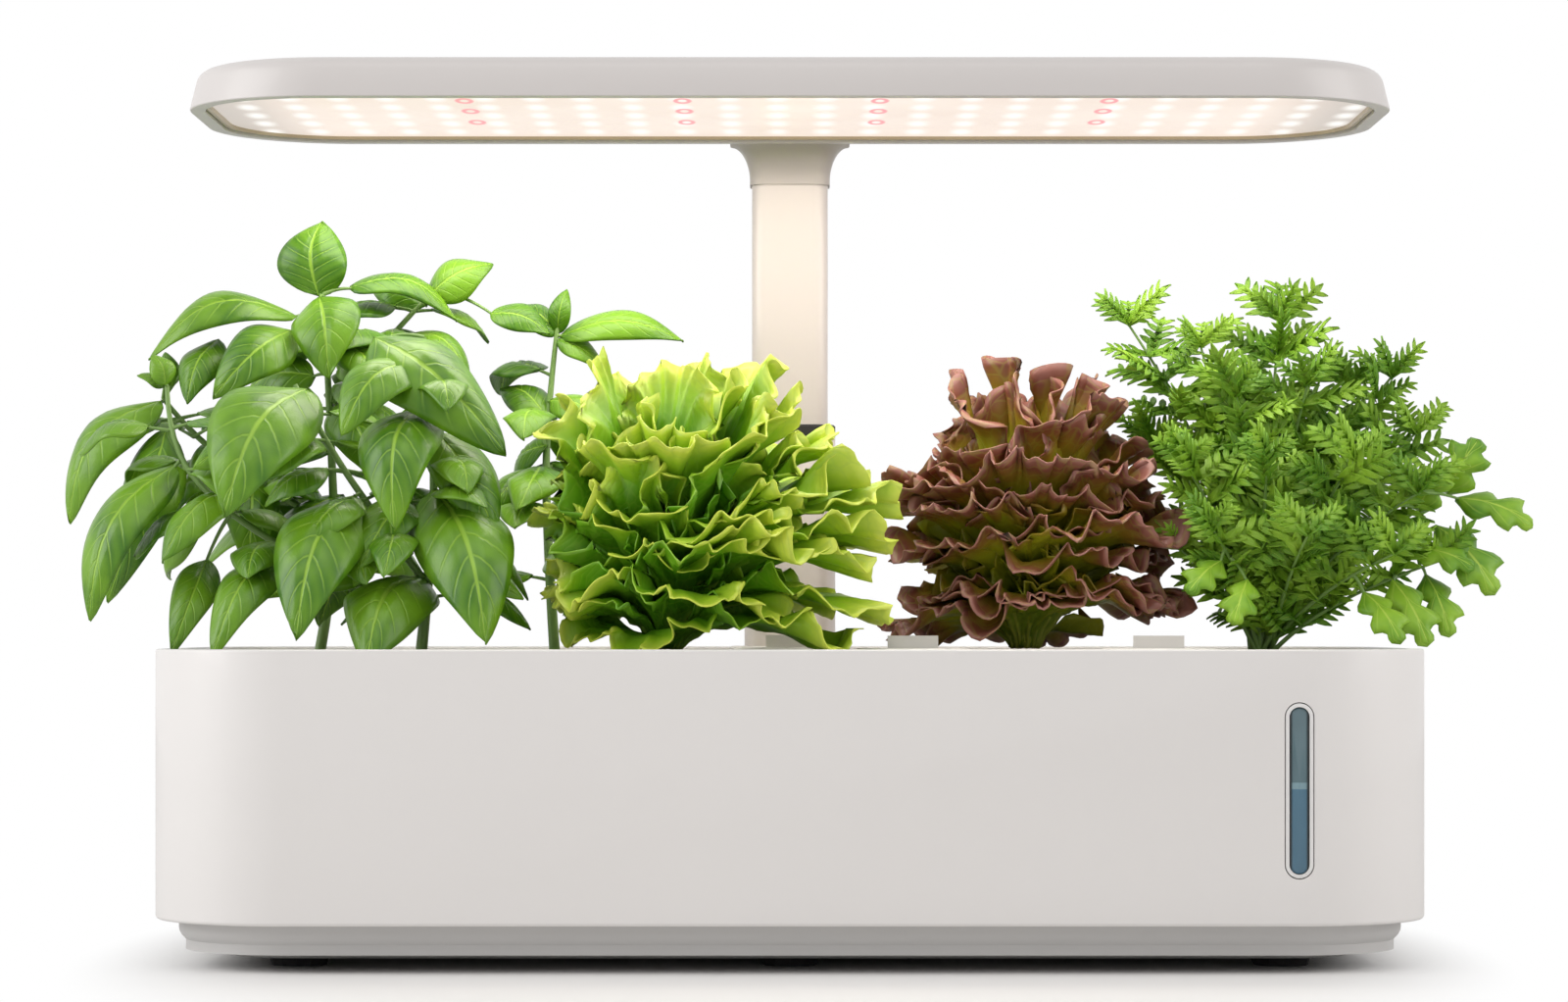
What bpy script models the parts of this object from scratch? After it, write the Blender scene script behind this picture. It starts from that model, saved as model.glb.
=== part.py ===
"""Countertop hydroponic garden: a water tank with a planted deck under a height-adjustable grow lamp.

Frame: metres, X to the right, Y to the rear, Z up, origin on the floor under the middle of the tank.
"""
import math

import bmesh
import bpy
from mathutils import Matrix, Vector

MM = 0.001

# Fits shared by the whole object
GAP = 0.3 * MM
OVERLAP = 0.2 * MM
OVERRUN = 5.0 * MM

# Feet and base tray
FOOT_RADIUS = 9.5 * MM
FOOT_STAND = 3.0 * MM
FOOT_TAPER = 0.8 * MM
FOOT_INSET_X = 45.0 * MM
FOOT_INSET_Y = 45.0 * MM
TRAY_INSET = 7.3 * MM
TRAY_FLARE = 26.0 * MM
TRAY_CURVE_HEIGHT = 9.4 * MM
TRAY_HEIGHT = 11.7 * MM
TRAY_WALL = 2.2 * MM
TRAY_FLOOR = 2.5 * MM

# Outer housing
HOUSING_LENGTH = 400.0 * MM
HOUSING_DEPTH = 200.0 * MM
HOUSING_RADIUS = 45.0 * MM
HOUSING_HEIGHT = 84.7 * MM
HOUSING_WALL = 2.5 * MM
HOUSING_DRAFT = 0.3 * MM
HOUSING_EDGE = 0.7 * MM
HOUSING_FILLET = 3.5 * MM
FLANGE_WIDTH = 44.0 * MM
FLANGE_THICKNESS = 2.5 * MM
BOSS_RADIUS = 5.0 * MM
BOSS_HEIGHT = 6.2 * MM
SCREW_X = 80.0 * MM
SCREW_INSET_Y = 38.0 * MM
SCREW_RADIUS = 1.5 * MM
SCREW_HEAD_RADIUS = 3.0 * MM
SCREW_HEAD_HEIGHT = 2.0 * MM
SCREW_GRIP = 15.0 * MM

# Water tank that stands inside the housing
TANK_GAP = 1.1 * MM
TANK_WALL = 2.0 * MM
TANK_FLOOR = 2.2 * MM
TANK_FILLET = 4.0 * MM
TANK_RIM_DROP = 6.0 * MM
BAY_HALF_WIDTH = 75.0 * MM
BAY_WALL = 3.0 * MM
BAY_DEPTH = 49.0 * MM

# Level window in the front wall
WINDOW_X = 155.7 * MM
WINDOW_HEIGHT = 51.0 * MM
WINDOW_WIDTH = 6.0 * MM
WINDOW_CENTRE_Z = 56.5 * MM
WINDOW_SETBACK = 0.5 * MM
BEZEL_WIDTH = 0.95 * MM
SEAL_WIDTH = 3.5 * MM
SEAL_SEAT_DEPTH = 0.3 * MM
SEAL_THICKNESS = 0.5 * MM

# Planted deck and its service strip
DECK_THICKNESS = 3.0 * MM
DECK_EDGE = 0.6 * MM
DECK_SIDE_GAP = 0.6 * MM
DECK_SKIRT = 6.0 * MM
DECK_SKIRT_WALL = 1.6 * MM
SEAM_Y = 49.5 * MM
POD_PITCH_X = 78.0 * MM
POD_REAR_Y = 12.0 * MM
POD_FRONT_Y = -50.0 * MM
POD_HOLE_RADIUS = 17.4 * MM

# Grow pods
BASKET_FLANGE = 2.6 * MM
BASKET_FLANGE_THICKNESS = 1.5 * MM
BASKET_HEIGHT = 44.0 * MM
BASKET_FOOT_RADIUS = 11.0 * MM
BASKET_WALL = 1.6 * MM
BASKET_SLOT_WIDTH = 3.0 * MM
BASKET_SLOT_BOTTOM = 4.0 * MM
BASKET_SLOT_HEIGHT = 24.0 * MM
SPONGE_TOP_DROP = 1.0 * MM
STEM_SOCKET_RADIUS = 3.3 * MM
STEM_SOCKET_DEPTH = 8.0 * MM
CAP_DOME = 2.5 * MM
CAP_SKIRT = 6.0 * MM
CAP_WALL = 1.5 * MM
CAP_TAB_LENGTH = 16.0 * MM
CAP_TAB_WIDTH = 2.4 * MM
CAP_TAB_HEIGHT = 4.0 * MM

# Mast: fixed sleeve, friction bush and sliding tube
MAST_Y = 66.0 * MM
TUBE_HALF_X = 13.0 * MM
TUBE_HALF_Y = 9.0 * MM
TUBE_RADIUS = 5.0 * MM
TUBE_WALL = 1.2 * MM
TUBE_SPIGOT_STEP = 0.8 * MM
TUBE_SPIGOT_HEIGHT = 10.0 * MM
TUBE_BELOW = 10.0 * MM
SLEEVE_SLIP = 0.6 * MM
SLEEVE_WALL = 2.0 * MM
SLEEVE_FLOOR = 2.5 * MM
SLEEVE_HEIGHT = 154.0 * MM
SLEEVE_FOOT_X = 7.0 * MM
SLEEVE_FOOT_Y = 1.5 * MM
BUSH_WALL = 1.1 * MM
BUSH_DEPTH = 12.0 * MM
BUSH_HEAD = 3.7 * MM
COLLAR_WIDTH = 5.0 * MM
COLLAR_HEIGHT = 3.0 * MM

# Grow lamp
LAMP_LENGTH = 384.0 * MM
LAMP_DEPTH = 132.0 * MM
LAMP_RADIUS = 45.0 * MM
LAMP_CENTRE_Y = -15.0 * MM
LAMP_BOTTOM = 271.0 * MM
LAMP_HEIGHT = 13.0 * MM
LAMP_DRAFT = 3.0 * MM
LAMP_EDGE = 0.8 * MM
LAMP_CROWN = 3.5 * MM
LAMP_CROWN_INSET = 5.0 * MM
LAMP_WALL = 2.4 * MM
LAMP_RIM = 5.0 * MM
LAMP_RIM_THICKNESS = 2.5 * MM
NECK_WALL = 0.7 * MM
NECK_DROP = 13.0 * MM
NECK_FLARE_X = 6.8 * MM
NECK_FLARE_Y = 4.0 * MM
NECK_TOP_DROP = 1.2 * MM
FRAME_WIDTH = 1.5 * MM
FRAME_LIP = 1.2 * MM
FRAME_LIP_THICKNESS = 0.7 * MM
FRAME_FLANGE = 1.2 * MM
FRAME_RECESS = 0.8 * MM
LENS_THICKNESS = 1.6 * MM
LED_BOARD_INSET = 12.0 * MM
LED_BOARD_THICKNESS = 1.6 * MM
LED_SIZE = 3.0 * MM
LED_THICKNESS = 1.0 * MM
LED_ROWS = 2
LED_COLUMNS = 9
LED_ROW_PITCH = 52.0 * MM
LED_COLUMN_PITCH = 38.0 * MM
PLATE_INSET = 6.6 * MM
PLATE_THICKNESS = 2.0 * MM
PLATE_BOSS_RADIUS = 3.5 * MM
PLATE_BOSS_X = 120.0 * MM
PLATE_BOSS_Y = 35.0 * MM

# Controls on the service strip
BUTTON_RADIUS = 5.0 * MM
BUTTON_PITCH = 16.0 * MM
BUTTON_FIRST_X = -60.0 * MM
BUTTON_Y = 73.0 * MM
BUTTON_PROUD = 0.8 * MM
BUTTON_TRAVEL = 1.0 * MM
BUTTON_FLANGE = 1.2 * MM
BUTTON_FLANGE_THICKNESS = 1.4 * MM
PLUNGER_RADIUS = 2.0 * MM
PLUNGER_LENGTH = 3.0 * MM
SWITCH_SIZE = 6.0 * MM
SWITCH_HEIGHT = 3.5 * MM
BOARD_LENGTH = 54.0 * MM
BOARD_DEPTH = 34.0 * MM
BOARD_THICKNESS = 1.6 * MM
BOARD_BOSS_RADIUS = 2.5 * MM
BOARD_BOSS_INSET = 5.0 * MM
INLET_X = 45.0 * MM
INLET_Z = 34.0 * MM
INLET_RADIUS = 5.0 * MM
INLET_COLLAR = 2.0 * MM
INLET_COLLAR_THICKNESS = 1.5 * MM
INLET_LENGTH = 15.0 * MM
INLET_BORE_RADIUS = 3.2 * MM
INLET_BORE_DEPTH = 9.0 * MM
INLET_PIN_RADIUS = 1.0 * MM
INLET_PIN_DROP = 1.0 * MM

# Filling hatch
LID_X = 125.0 * MM
LID_Y = 72.0 * MM
LID_LENGTH = 34.0 * MM
LID_DEPTH = 26.0 * MM
LID_THICKNESS = 2.0 * MM
LID_RADIUS = 3.0 * MM
LID_HINGE_INSET = 1.3 * MM
LID_REAR_GAP = 0.8 * MM
LID_NOTCH = 5.0 * MM
HINGE_PIN_RADIUS = 0.8 * MM
HINGE_PIN_LENGTH = 1.5 * MM
PORT_LEDGE = 4.0 * MM
PORT_LEDGE_THICKNESS = 2.0 * MM

# Circulation pump
PUMP_X = -135.0 * MM
PUMP_Y = 72.0 * MM
PUMP_LENGTH = 46.0 * MM
PUMP_DEPTH = 32.0 * MM
PUMP_HEIGHT = 36.0 * MM
PUMP_RADIUS = 6.0 * MM
CHAMBER_RADIUS = 12.3 * MM
CHAMBER_DEPTH = 13.0 * MM
ROTOR_RADIUS = 6.0 * MM
ROTOR_LENGTH = 11.0 * MM
BLADE_COUNT = 5
BLADE_THICKNESS = 1.4 * MM
BLADE_DEPTH = 7.0 * MM
BLADE_CLEARANCE = 0.9 * MM
HUB_RADIUS = 4.0 * MM
SHAFT_RADIUS = 1.2 * MM
SHAFT_SEAT = 3.0 * MM
NOZZLE_RADIUS = 5.0 * MM
NOZZLE_BORE_RADIUS = 3.2 * MM
NOZZLE_HEIGHT = 9.0 * MM
STRAINER_THICKNESS = 3.0 * MM
STRAINER_SLOTS = 5
STRAINER_SLOT_WIDTH = 2.4 * MM
STRAINER_SLOT_PITCH = 6.0 * MM
STRAINER_SLOT_HEIGHT = 24.0 * MM

# Plants: heights above the deck and the sizes that their leaves and stems follow
BASIL_TALL_HEIGHT = 138.0 * MM
BASIL_FRONT_HEIGHT = 110.0 * MM
BASIL_SHORT_HEIGHT = 112.0 * MM
GREEN_LETTUCE_HEIGHT = 100.0 * MM
GREEN_REACH_X = 56.0 * MM
GREEN_REACH_Y = 47.0 * MM
GREEN_SHIFT_X = 16.0 * MM
GREEN_SHIFT_Y = 6.0 * MM
RED_LETTUCE_HEIGHT = 106.0 * MM
RED_REACH_X = 45.0 * MM
RED_REACH_Y = 38.0 * MM
RED_SHIFT_X = 2.0 * MM
RED_SHIFT_Y = -7.0 * MM
HERB_HEIGHT = 112.0 * MM
ROOT_RADIUS = 2.8 * MM
BASIL_STEM_RADIUS = 1.6 * MM
BASIL_TWIG_RADIUS = 0.6 * MM
BASIL_LEAF_THICKNESS = 1.7 * MM
LETTUCE_LEAF_THICKNESS = 1.3 * MM
LETTUCE_FRILL = 3.0 * MM
HEART_RADIUS = 6.0 * MM
HEART_HEIGHT = 16.0 * MM
HERB_STEM_RADIUS = 0.8 * MM
HERB_LEAF_LENGTH = 10.0 * MM
HERB_LEAF_WIDTH = 4.4 * MM
HERB_LEAF_THICKNESS = 1.2 * MM

# Facet counts
CORNER_STEPS = 5
SMALL_CORNER_STEPS = 3
ROUND_STEPS = 16
MEDIUM_ROUND_STEPS = 12
SMALL_ROUND_STEPS = 8
STEM_SIDES = 4
TWIG_SIDES = 3

# Heights worked out from the sizes above
TRAY_BOTTOM = FOOT_STAND
TRAY_TOP = TRAY_BOTTOM + TRAY_HEIGHT
HOUSING_BOTTOM = TRAY_TOP + GAP
HOUSING_TOP = HOUSING_BOTTOM + HOUSING_HEIGHT
FLANGE_TOP = HOUSING_BOTTOM + FLANGE_THICKNESS
BOSS_TOP = FLANGE_TOP + BOSS_HEIGHT
TANK_BOTTOM = BOSS_TOP + GAP
TANK_INSIDE = TANK_BOTTOM + TANK_FLOOR
TANK_TOP = HOUSING_TOP - TANK_RIM_DROP
DECK_BOTTOM = TANK_TOP + GAP
DECK_TOP = DECK_BOTTOM + DECK_THICKNESS
POD_SEAT = DECK_TOP + GAP
SPONGE_TOP = POD_SEAT + BASKET_FLANGE_THICKNESS - SPONGE_TOP_DROP
SLEEVE_BOTTOM = FLANGE_TOP + GAP
SLEEVE_TOP = SLEEVE_BOTTOM + SLEEVE_HEIGHT
SLEEVE_INSIDE = SLEEVE_BOTTOM + SLEEVE_FLOOR
TUBE_BOTTOM = SLEEVE_INSIDE + GAP + TUBE_BELOW
LAMP_TOP = LAMP_BOTTOM + LAMP_HEIGHT
LAMP_RIM_TOP = LAMP_BOTTOM + LAMP_RIM_THICKNESS
LAMP_ROOF = LAMP_TOP - LAMP_WALL
NECK_BOTTOM = LAMP_BOTTOM - NECK_DROP
TUBE_SHOULDER = NECK_BOTTOM - GAP
TUBE_TOP = TUBE_SHOULDER + TUBE_SPIGOT_HEIGHT
FRAME_BOTTOM = LAMP_BOTTOM + FRAME_RECESS
FRAME_SEAT = LAMP_RIM_TOP + GAP
LENS_BOTTOM = FRAME_BOTTOM + FRAME_LIP_THICKNESS + GAP
PLATE_TOP = LAMP_ROOF - GAP - LAMP_EDGE
PLATE_BOTTOM = PLATE_TOP - PLATE_THICKNESS
LED_BOARD_TOP = PLATE_BOTTOM - GAP
LED_BOARD_BOTTOM = LED_BOARD_TOP - LED_BOARD_THICKNESS
PLUNGER_BOTTOM = DECK_BOTTOM - GAP - BUTTON_FLANGE_THICKNESS - PLUNGER_LENGTH
BOARD_TOP = PLUNGER_BOTTOM - BUTTON_TRAVEL - GAP - SWITCH_HEIGHT
BUTTON_XS = [BUTTON_FIRST_X + step * BUTTON_PITCH for step in range(3)]
HALF_LENGTH = HOUSING_LENGTH / 2
HALF_DEPTH = HOUSING_DEPTH / 2
FRONT_Y = -HALF_DEPTH

FINISHES = {
    "shell_white": ((0.80, 0.78, 0.76), 0.42, 0.0),
    "tray_grey": ((0.33, 0.32, 0.31), 0.5, 0.0),
    "deck_white": ((0.74, 0.72, 0.68), 0.5, 0.0),
    "tank_grey": ((0.20, 0.20, 0.20), 0.5, 0.0),
    "rubber_black": ((0.02, 0.02, 0.02), 0.8, 0.0),
    "window_blue": ((0.10, 0.22, 0.30), 0.1, 0.0),
    "mast_silver": ((0.78, 0.76, 0.74), 0.35, 0.3),
    "aluminium": ((0.70, 0.70, 0.70), 0.35, 1.0),
    "board_white": ((0.85, 0.85, 0.80), 0.5, 0.0),
    "board_green": ((0.05, 0.20, 0.10), 0.5, 0.0),
    "lens_warm": ((0.95, 0.90, 0.80), 0.3, 0.0),
    "frame_cream": ((0.70, 0.60, 0.42), 0.35, 0.0),
    "button_grey": ((0.62, 0.61, 0.60), 0.45, 0.0),
    "steel": ((0.60, 0.60, 0.60), 0.3, 1.0),
    "pod_white": ((0.75, 0.75, 0.72), 0.5, 0.0),
    "sponge_brown": ((0.09, 0.06, 0.04), 0.95, 0.0),
    "basil_green": ((0.10, 0.28, 0.03), 0.4, 0.0),
    "lettuce_green": ((0.38, 0.62, 0.06), 0.5, 0.0),
    "lettuce_red": ((0.28, 0.10, 0.06), 0.5, 0.0),
    "herb_green": ((0.16, 0.36, 0.06), 0.5, 0.0),
    "pump_black": ((0.03, 0.03, 0.035), 0.5, 0.0),
}


def clear_scene():
    for item in list(bpy.data.objects):
        bpy.data.objects.remove(item, do_unlink=True)


def finish_material(finish):
    material = bpy.data.materials.get(finish)
    if material is None:
        colour, roughness, metallic = FINISHES[finish]
        material = bpy.data.materials.new(finish)
        material.use_nodes = True
        shader = material.node_tree.nodes["Principled BSDF"]
        shader.inputs["Base Color"].default_value = (*colour, 1.0)
        shader.inputs["Roughness"].default_value = roughness
        shader.inputs["Metallic"].default_value = metallic
    return material


def add_object(name, mesh, finish):
    item = bpy.data.objects.new(name, mesh)
    bpy.context.scene.collection.objects.link(item)
    mesh.materials.clear()
    mesh.materials.append(finish_material(finish))
    return item


# Rings and lofts

def corner_ring(half_x, half_y, radius, z, centre=(0.0, 0.0), steps=CORNER_STEPS):
    """Rounded rectangle, counter-clockwise from above."""
    radius = min(radius, half_x, half_y)
    points = []
    for quarter, (side_x, side_y) in enumerate(((1, 1), (-1, 1), (-1, -1), (1, -1))):
        middle_x = centre[0] + side_x * (half_x - radius)
        middle_y = centre[1] + side_y * (half_y - radius)
        for step in range(steps + 1):
            angle = (quarter + step / steps) * math.pi / 2
            points.append(Vector((middle_x + radius * math.cos(angle), middle_y + radius * math.sin(angle), z)))
    return points


def round_ring(radius, z, centre=(0.0, 0.0), steps=ROUND_STEPS):
    angles = [2 * math.pi * step / steps for step in range(steps)]
    return [Vector((centre[0] + radius * math.cos(a), centre[1] + radius * math.sin(a), z)) for a in angles]


def loft(rings, closed=False):
    """Skin a row of rings with equal counts; closed joins the last ring to the first."""
    shell = bmesh.new()
    loops = [[shell.verts.new(point) for point in ring] for ring in rings]
    pairs = list(zip(loops, loops[1:]))
    if closed:
        pairs.append((loops[-1], loops[0]))
    for lower, upper in pairs:
        count = len(lower)
        for index in range(count):
            after = (index + 1) % count
            shell.faces.new((lower[index], lower[after], upper[after], upper[index]))
    if not closed:
        shell.faces.new(list(reversed(loops[0])))
        shell.faces.new(loops[-1])
    bmesh.ops.remove_doubles(shell, verts=shell.verts, dist=OVERLAP / 100)
    bmesh.ops.recalc_face_normals(shell, faces=shell.faces)
    mesh = bpy.data.meshes.new("loft")
    shell.to_mesh(mesh)
    shell.free()
    return mesh


def smooth(item):
    item.data.shade_smooth()
    item.data.set_sharp_from_angle(angle=math.radians(35))
    return item


def lofted(name, rings, finish, closed=False):
    return smooth(add_object(name, loft(rings, closed), finish))


def turned(name, profile, finish, centre=(0.0, 0.0), steps=ROUND_STEPS, closed=False):
    """A profile of (radius, height) points turned about a vertical axis."""
    rings = [round_ring(radius, z, centre, steps) for radius, z in profile]
    return lofted(name, rings, finish, closed)


def lay_along_y(item, origin):
    """Turn a piece modelled along Z so that it runs along Y, then put it at its place."""
    for vertex in item.data.vertices:
        x, y, z = vertex.co
        vertex.co = origin + Vector((x, z, -y))
    return item


def block(name, low, high, finish="steel"):
    shape = bmesh.new()
    bmesh.ops.create_cube(shape, size=1.0)
    for vertex in shape.verts:
        for axis in range(3):
            vertex.co[axis] = high[axis] if vertex.co[axis] > 0 else low[axis]
    mesh = bpy.data.meshes.new(name)
    shape.to_mesh(mesh)
    shape.free()
    return add_object(name, mesh, finish)


def cylinder(radius, bottom, top, centre=(0.0, 0.0), steps=SMALL_ROUND_STEPS):
    return turned("tool", [(radius, bottom), (radius, top)], "steel", centre, steps)


# Booleans

def combine(item, others, operation, solver="EXACT"):
    """Union or difference with closed pieces, applied to the mesh; the pieces are used up."""
    tools = bpy.data.collections.new("tools")
    bpy.context.scene.collection.children.link(tools)
    for other in others:
        bpy.context.scene.collection.objects.unlink(other)
        tools.objects.link(other)
    modifier = item.modifiers.new("combine", "BOOLEAN")
    modifier.operation = operation
    modifier.operand_type = "COLLECTION"
    modifier.collection = tools
    modifier.solver = solver
    graph = bpy.context.evaluated_depsgraph_get()
    mesh = bpy.data.meshes.new_from_object(item.evaluated_get(graph))
    item.modifiers.clear()
    material = item.data.materials[0]
    item.data = mesh
    mesh.materials.clear()
    mesh.materials.append(material)
    for other in others:
        bpy.data.objects.remove(other, do_unlink=True)
    bpy.data.collections.remove(tools)
    return item


def cut(item, others):
    return smooth(combine(item, others, "DIFFERENCE"))


def fuse(item, others):
    return smooth(combine(item, others, "UNION"))


def drop_pockets(mesh):
    """Delete the small closed pockets that crossing leaves trap, and keep the outer skin."""
    shape = bmesh.new()
    shape.from_mesh(mesh)
    unseen = set(shape.verts)
    shells = []
    while unseen:
        edge = [unseen.pop()]
        shell = list(edge)
        while edge:
            for link in edge.pop().link_edges:
                for vertex in link.verts:
                    if vertex in unseen:
                        unseen.remove(vertex)
                        edge.append(vertex)
                        shell.append(vertex)
        shells.append(shell)
    shells.sort(key=len)
    for shell in shells[:-1]:
        bmesh.ops.delete(shape, geom=shell, context="VERTS")
    shape.to_mesh(mesh)
    shape.free()


def into_triangles(mesh):
    """Bent four-sided faces become triangles, which are flat wherever another leaf crosses them."""
    shape = bmesh.new()
    shape.from_mesh(mesh)
    bmesh.ops.triangulate(shape, faces=shape.faces)
    shape.to_mesh(mesh)
    shape.free()


def fuse_foliage(item, others):
    """Thin leaves that cross one another leave open edges under EXACT, and none under MANIFOLD."""
    for piece in [item, *others]:
        into_triangles(piece.data)
    combine(item, others, "UNION", "MANIFOLD")
    drop_pockets(item.data)
    return smooth(item)


# Base

def housing_ring(inset, z):
    return corner_ring(HALF_LENGTH - inset, HALF_DEPTH - inset, HOUSING_RADIUS - inset, z)


def foot_places():
    """Six feet: two rows of three."""
    foot_x = HALF_LENGTH - FOOT_INSET_X
    foot_y = HALF_DEPTH - FOOT_INSET_Y
    return [(x, y) for y in (-foot_y, foot_y) for x in (-foot_x, 0.0, foot_x)]


def screw_places():
    screw_y = HALF_DEPTH - SCREW_INSET_Y
    return [(x, y) for y in (-screw_y, screw_y) for x in (-SCREW_X, SCREW_X)]


def make_tray():
    """Bowl-shaped tray whose side is a quarter ellipse, with screw pillars on its floor."""
    steps = 4
    outside = []
    inside = []
    for step in range(steps + 1):
        angle = step / steps * math.pi / 2
        inset = TRAY_INSET + TRAY_FLARE * (1 - math.sin(angle))
        z = TRAY_BOTTOM + TRAY_CURVE_HEIGHT * (1 - math.cos(angle))
        outside.append(housing_ring(inset, z))
        inner_z = TRAY_BOTTOM + TRAY_FLOOR + (TRAY_CURVE_HEIGHT - TRAY_FLOOR) * (1 - math.cos(angle))
        inside.append(housing_ring(inset + TRAY_WALL, inner_z))
    outside.append(housing_ring(TRAY_INSET, TRAY_TOP))
    inside.append(housing_ring(TRAY_INSET + TRAY_WALL, TRAY_TOP))
    tray = lofted("base_tray", outside + inside[::-1], "tray_grey")
    pillar_bottom = TRAY_BOTTOM + TRAY_FLOOR - OVERLAP
    fuse(tray, [cylinder(BOSS_RADIUS, pillar_bottom, TRAY_TOP, place) for place in screw_places()])
    head_seat = TRAY_BOTTOM + SCREW_HEAD_HEIGHT + SCREW_HEAD_HEIGHT / 2
    cutters = []
    for place in screw_places():
        cutters.append(cylinder(SCREW_HEAD_RADIUS + GAP, -OVERRUN, head_seat, place))
        cutters.append(cylinder(SCREW_RADIUS + GAP, -OVERRUN, TRAY_TOP + OVERRUN, place))
    cut(tray, cutters)
    for number, place in enumerate(screw_places(), start=1):
        head_top = head_seat - GAP
        profile = [
            (SCREW_HEAD_RADIUS, head_top - SCREW_HEAD_HEIGHT),
            (SCREW_HEAD_RADIUS, head_top),
            (SCREW_RADIUS, head_top),
            (SCREW_RADIUS, head_top + SCREW_GRIP),
        ]
        turned(f"base_screw_{number}", profile, "steel", place, SMALL_ROUND_STEPS)


def make_feet():
    profile = [(FOOT_RADIUS - FOOT_TAPER, 0.0), (FOOT_RADIUS, TRAY_BOTTOM - GAP)]
    for number, place in enumerate(foot_places(), start=1):
        turned(f"foot_{number}", profile, "rubber_black", place, MEDIUM_ROUND_STEPS)


# Housing, tank and level window

def pill_prism(half_width, half_height, front, back, steps=SMALL_CORNER_STEPS):
    """A pill standing upright in the front wall, from y=front to y=back."""
    rings = []
    for y in (front, back):
        flat = corner_ring(half_width, half_height, half_width, 0.0, steps=steps)
        rings.append([Vector((WINDOW_X + point.x, y, WINDOW_CENTRE_Z + point.y)) for point in flat])
    return rings


def make_housing():
    rim = HOUSING_TOP
    foot = HOUSING_BOTTOM
    inset_and_height = [
        (FLANGE_WIDTH, foot),
        (HOUSING_DRAFT + HOUSING_FILLET, foot),
        (HOUSING_DRAFT + HOUSING_FILLET * 0.3, foot + HOUSING_FILLET * 0.3),
        (HOUSING_DRAFT, foot + HOUSING_FILLET),
        (0.0, rim - HOUSING_EDGE),
        (HOUSING_EDGE, rim),
        (HOUSING_WALL - HOUSING_EDGE, rim),
        (HOUSING_WALL, rim - HOUSING_EDGE),
        (HOUSING_WALL, FLANGE_TOP),
        (FLANGE_WIDTH, FLANGE_TOP),
    ]
    rings = [housing_ring(inset, z) for inset, z in inset_and_height]
    housing = lofted("outer_housing", rings, "shell_white", closed=True)
    fuse(housing, [cylinder(BOSS_RADIUS, FLANGE_TOP - OVERLAP, BOSS_TOP, place) for place in screw_places()])
    window_half = WINDOW_WIDTH / 2 + GAP + BEZEL_WIDTH + GAP
    window_tall = WINDOW_HEIGHT / 2 + GAP + BEZEL_WIDTH + GAP
    slot = pill_prism(window_half, window_tall, FRONT_Y - OVERRUN, FRONT_Y + OVERRUN)
    cutters = [lofted("tool", slot, "steel")]
    seat_half = WINDOW_WIDTH / 2 + GAP + SEAL_WIDTH + GAP
    seat_tall = WINDOW_HEIGHT / 2 + GAP + SEAL_WIDTH + GAP
    seal_seat = pill_prism(seat_half, seat_tall, FRONT_Y + HOUSING_WALL - SEAL_SEAT_DEPTH, FRONT_Y + OVERRUN)
    cutters.append(lofted("tool", seal_seat, "steel"))
    hole_top = BOSS_TOP - SCREW_RADIUS
    for place in screw_places():
        cutters.append(cylinder(SCREW_RADIUS + GAP, foot - OVERRUN, hole_top, place))
    hole = [(INLET_RADIUS + GAP, -OVERRUN), (INLET_RADIUS + GAP, OVERRUN)]
    socket = turned("tool", hole, "steel", steps=MEDIUM_ROUND_STEPS)
    cutters.append(lay_along_y(socket, Vector((INLET_X, HALF_DEPTH, INLET_Z))))
    cut(housing, cutters)


def tank_prism(inset, bottom, top, fillet):
    rings = [housing_ring(inset + fillet, bottom), housing_ring(inset, bottom + fillet), housing_ring(inset, top)]
    return lofted("tool", rings, "tank_grey")


def bay_block(margin):
    """The dry bay at the middle of the rear, which the tank goes round."""
    half = BAY_HALF_WIDTH + margin
    low = (-half, HALF_DEPTH - BAY_DEPTH - margin, -OVERRUN)
    high = (half, HALF_DEPTH + OVERRUN, HOUSING_TOP + OVERRUN)
    return block("tool", low, high)


def make_tank():
    outside = HOUSING_WALL + TANK_GAP
    tank = cut(tank_prism(outside, TANK_BOTTOM, TANK_TOP, TANK_FILLET), [bay_block(0.0)])
    hollow = tank_prism(outside + TANK_WALL, TANK_INSIDE, TANK_TOP + OVERRUN, TANK_FILLET - TANK_WALL)
    cut(hollow, [bay_block(BAY_WALL)])
    wall_hole = pill_prism(WINDOW_WIDTH / 2 + GAP, WINDOW_HEIGHT / 2 + GAP, FRONT_Y - OVERRUN, FRONT_Y + 2 * OVERRUN)
    cut(tank, [hollow])
    cut(tank, [lofted("tool", wall_hole, "steel")])
    tank.name = "water_tank"


def make_window():
    tank_face = FRONT_Y + HOUSING_WALL + TANK_GAP
    inside_face = tank_face + TANK_WALL
    half = WINDOW_WIDTH / 2
    tall = WINDOW_HEIGHT / 2
    glass = pill_prism(half, tall, FRONT_Y + WINDOW_SETBACK, inside_face + GAP)
    lofted("level_window", glass, "window_blue")
    bezel_back = FRONT_Y + HOUSING_WALL
    outer = pill_prism(half + GAP + BEZEL_WIDTH, tall + GAP + BEZEL_WIDTH, FRONT_Y, bezel_back)
    inner = pill_prism(half + GAP, tall + GAP, FRONT_Y, bezel_back)
    lofted("window_bezel", outer + inner[::-1], "shell_white", closed=True)
    middle = (bezel_back + tank_face) / 2
    seal_front = middle - SEAL_THICKNESS / 2
    seal_back = middle + SEAL_THICKNESS / 2
    outer = pill_prism(half + GAP + SEAL_WIDTH, tall + GAP + SEAL_WIDTH, seal_front, seal_back)
    inner = pill_prism(half + GAP, tall + GAP, seal_front, seal_back)
    lofted("window_seal", outer + inner[::-1], "rubber_black", closed=True)


# Deck and service strip

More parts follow.
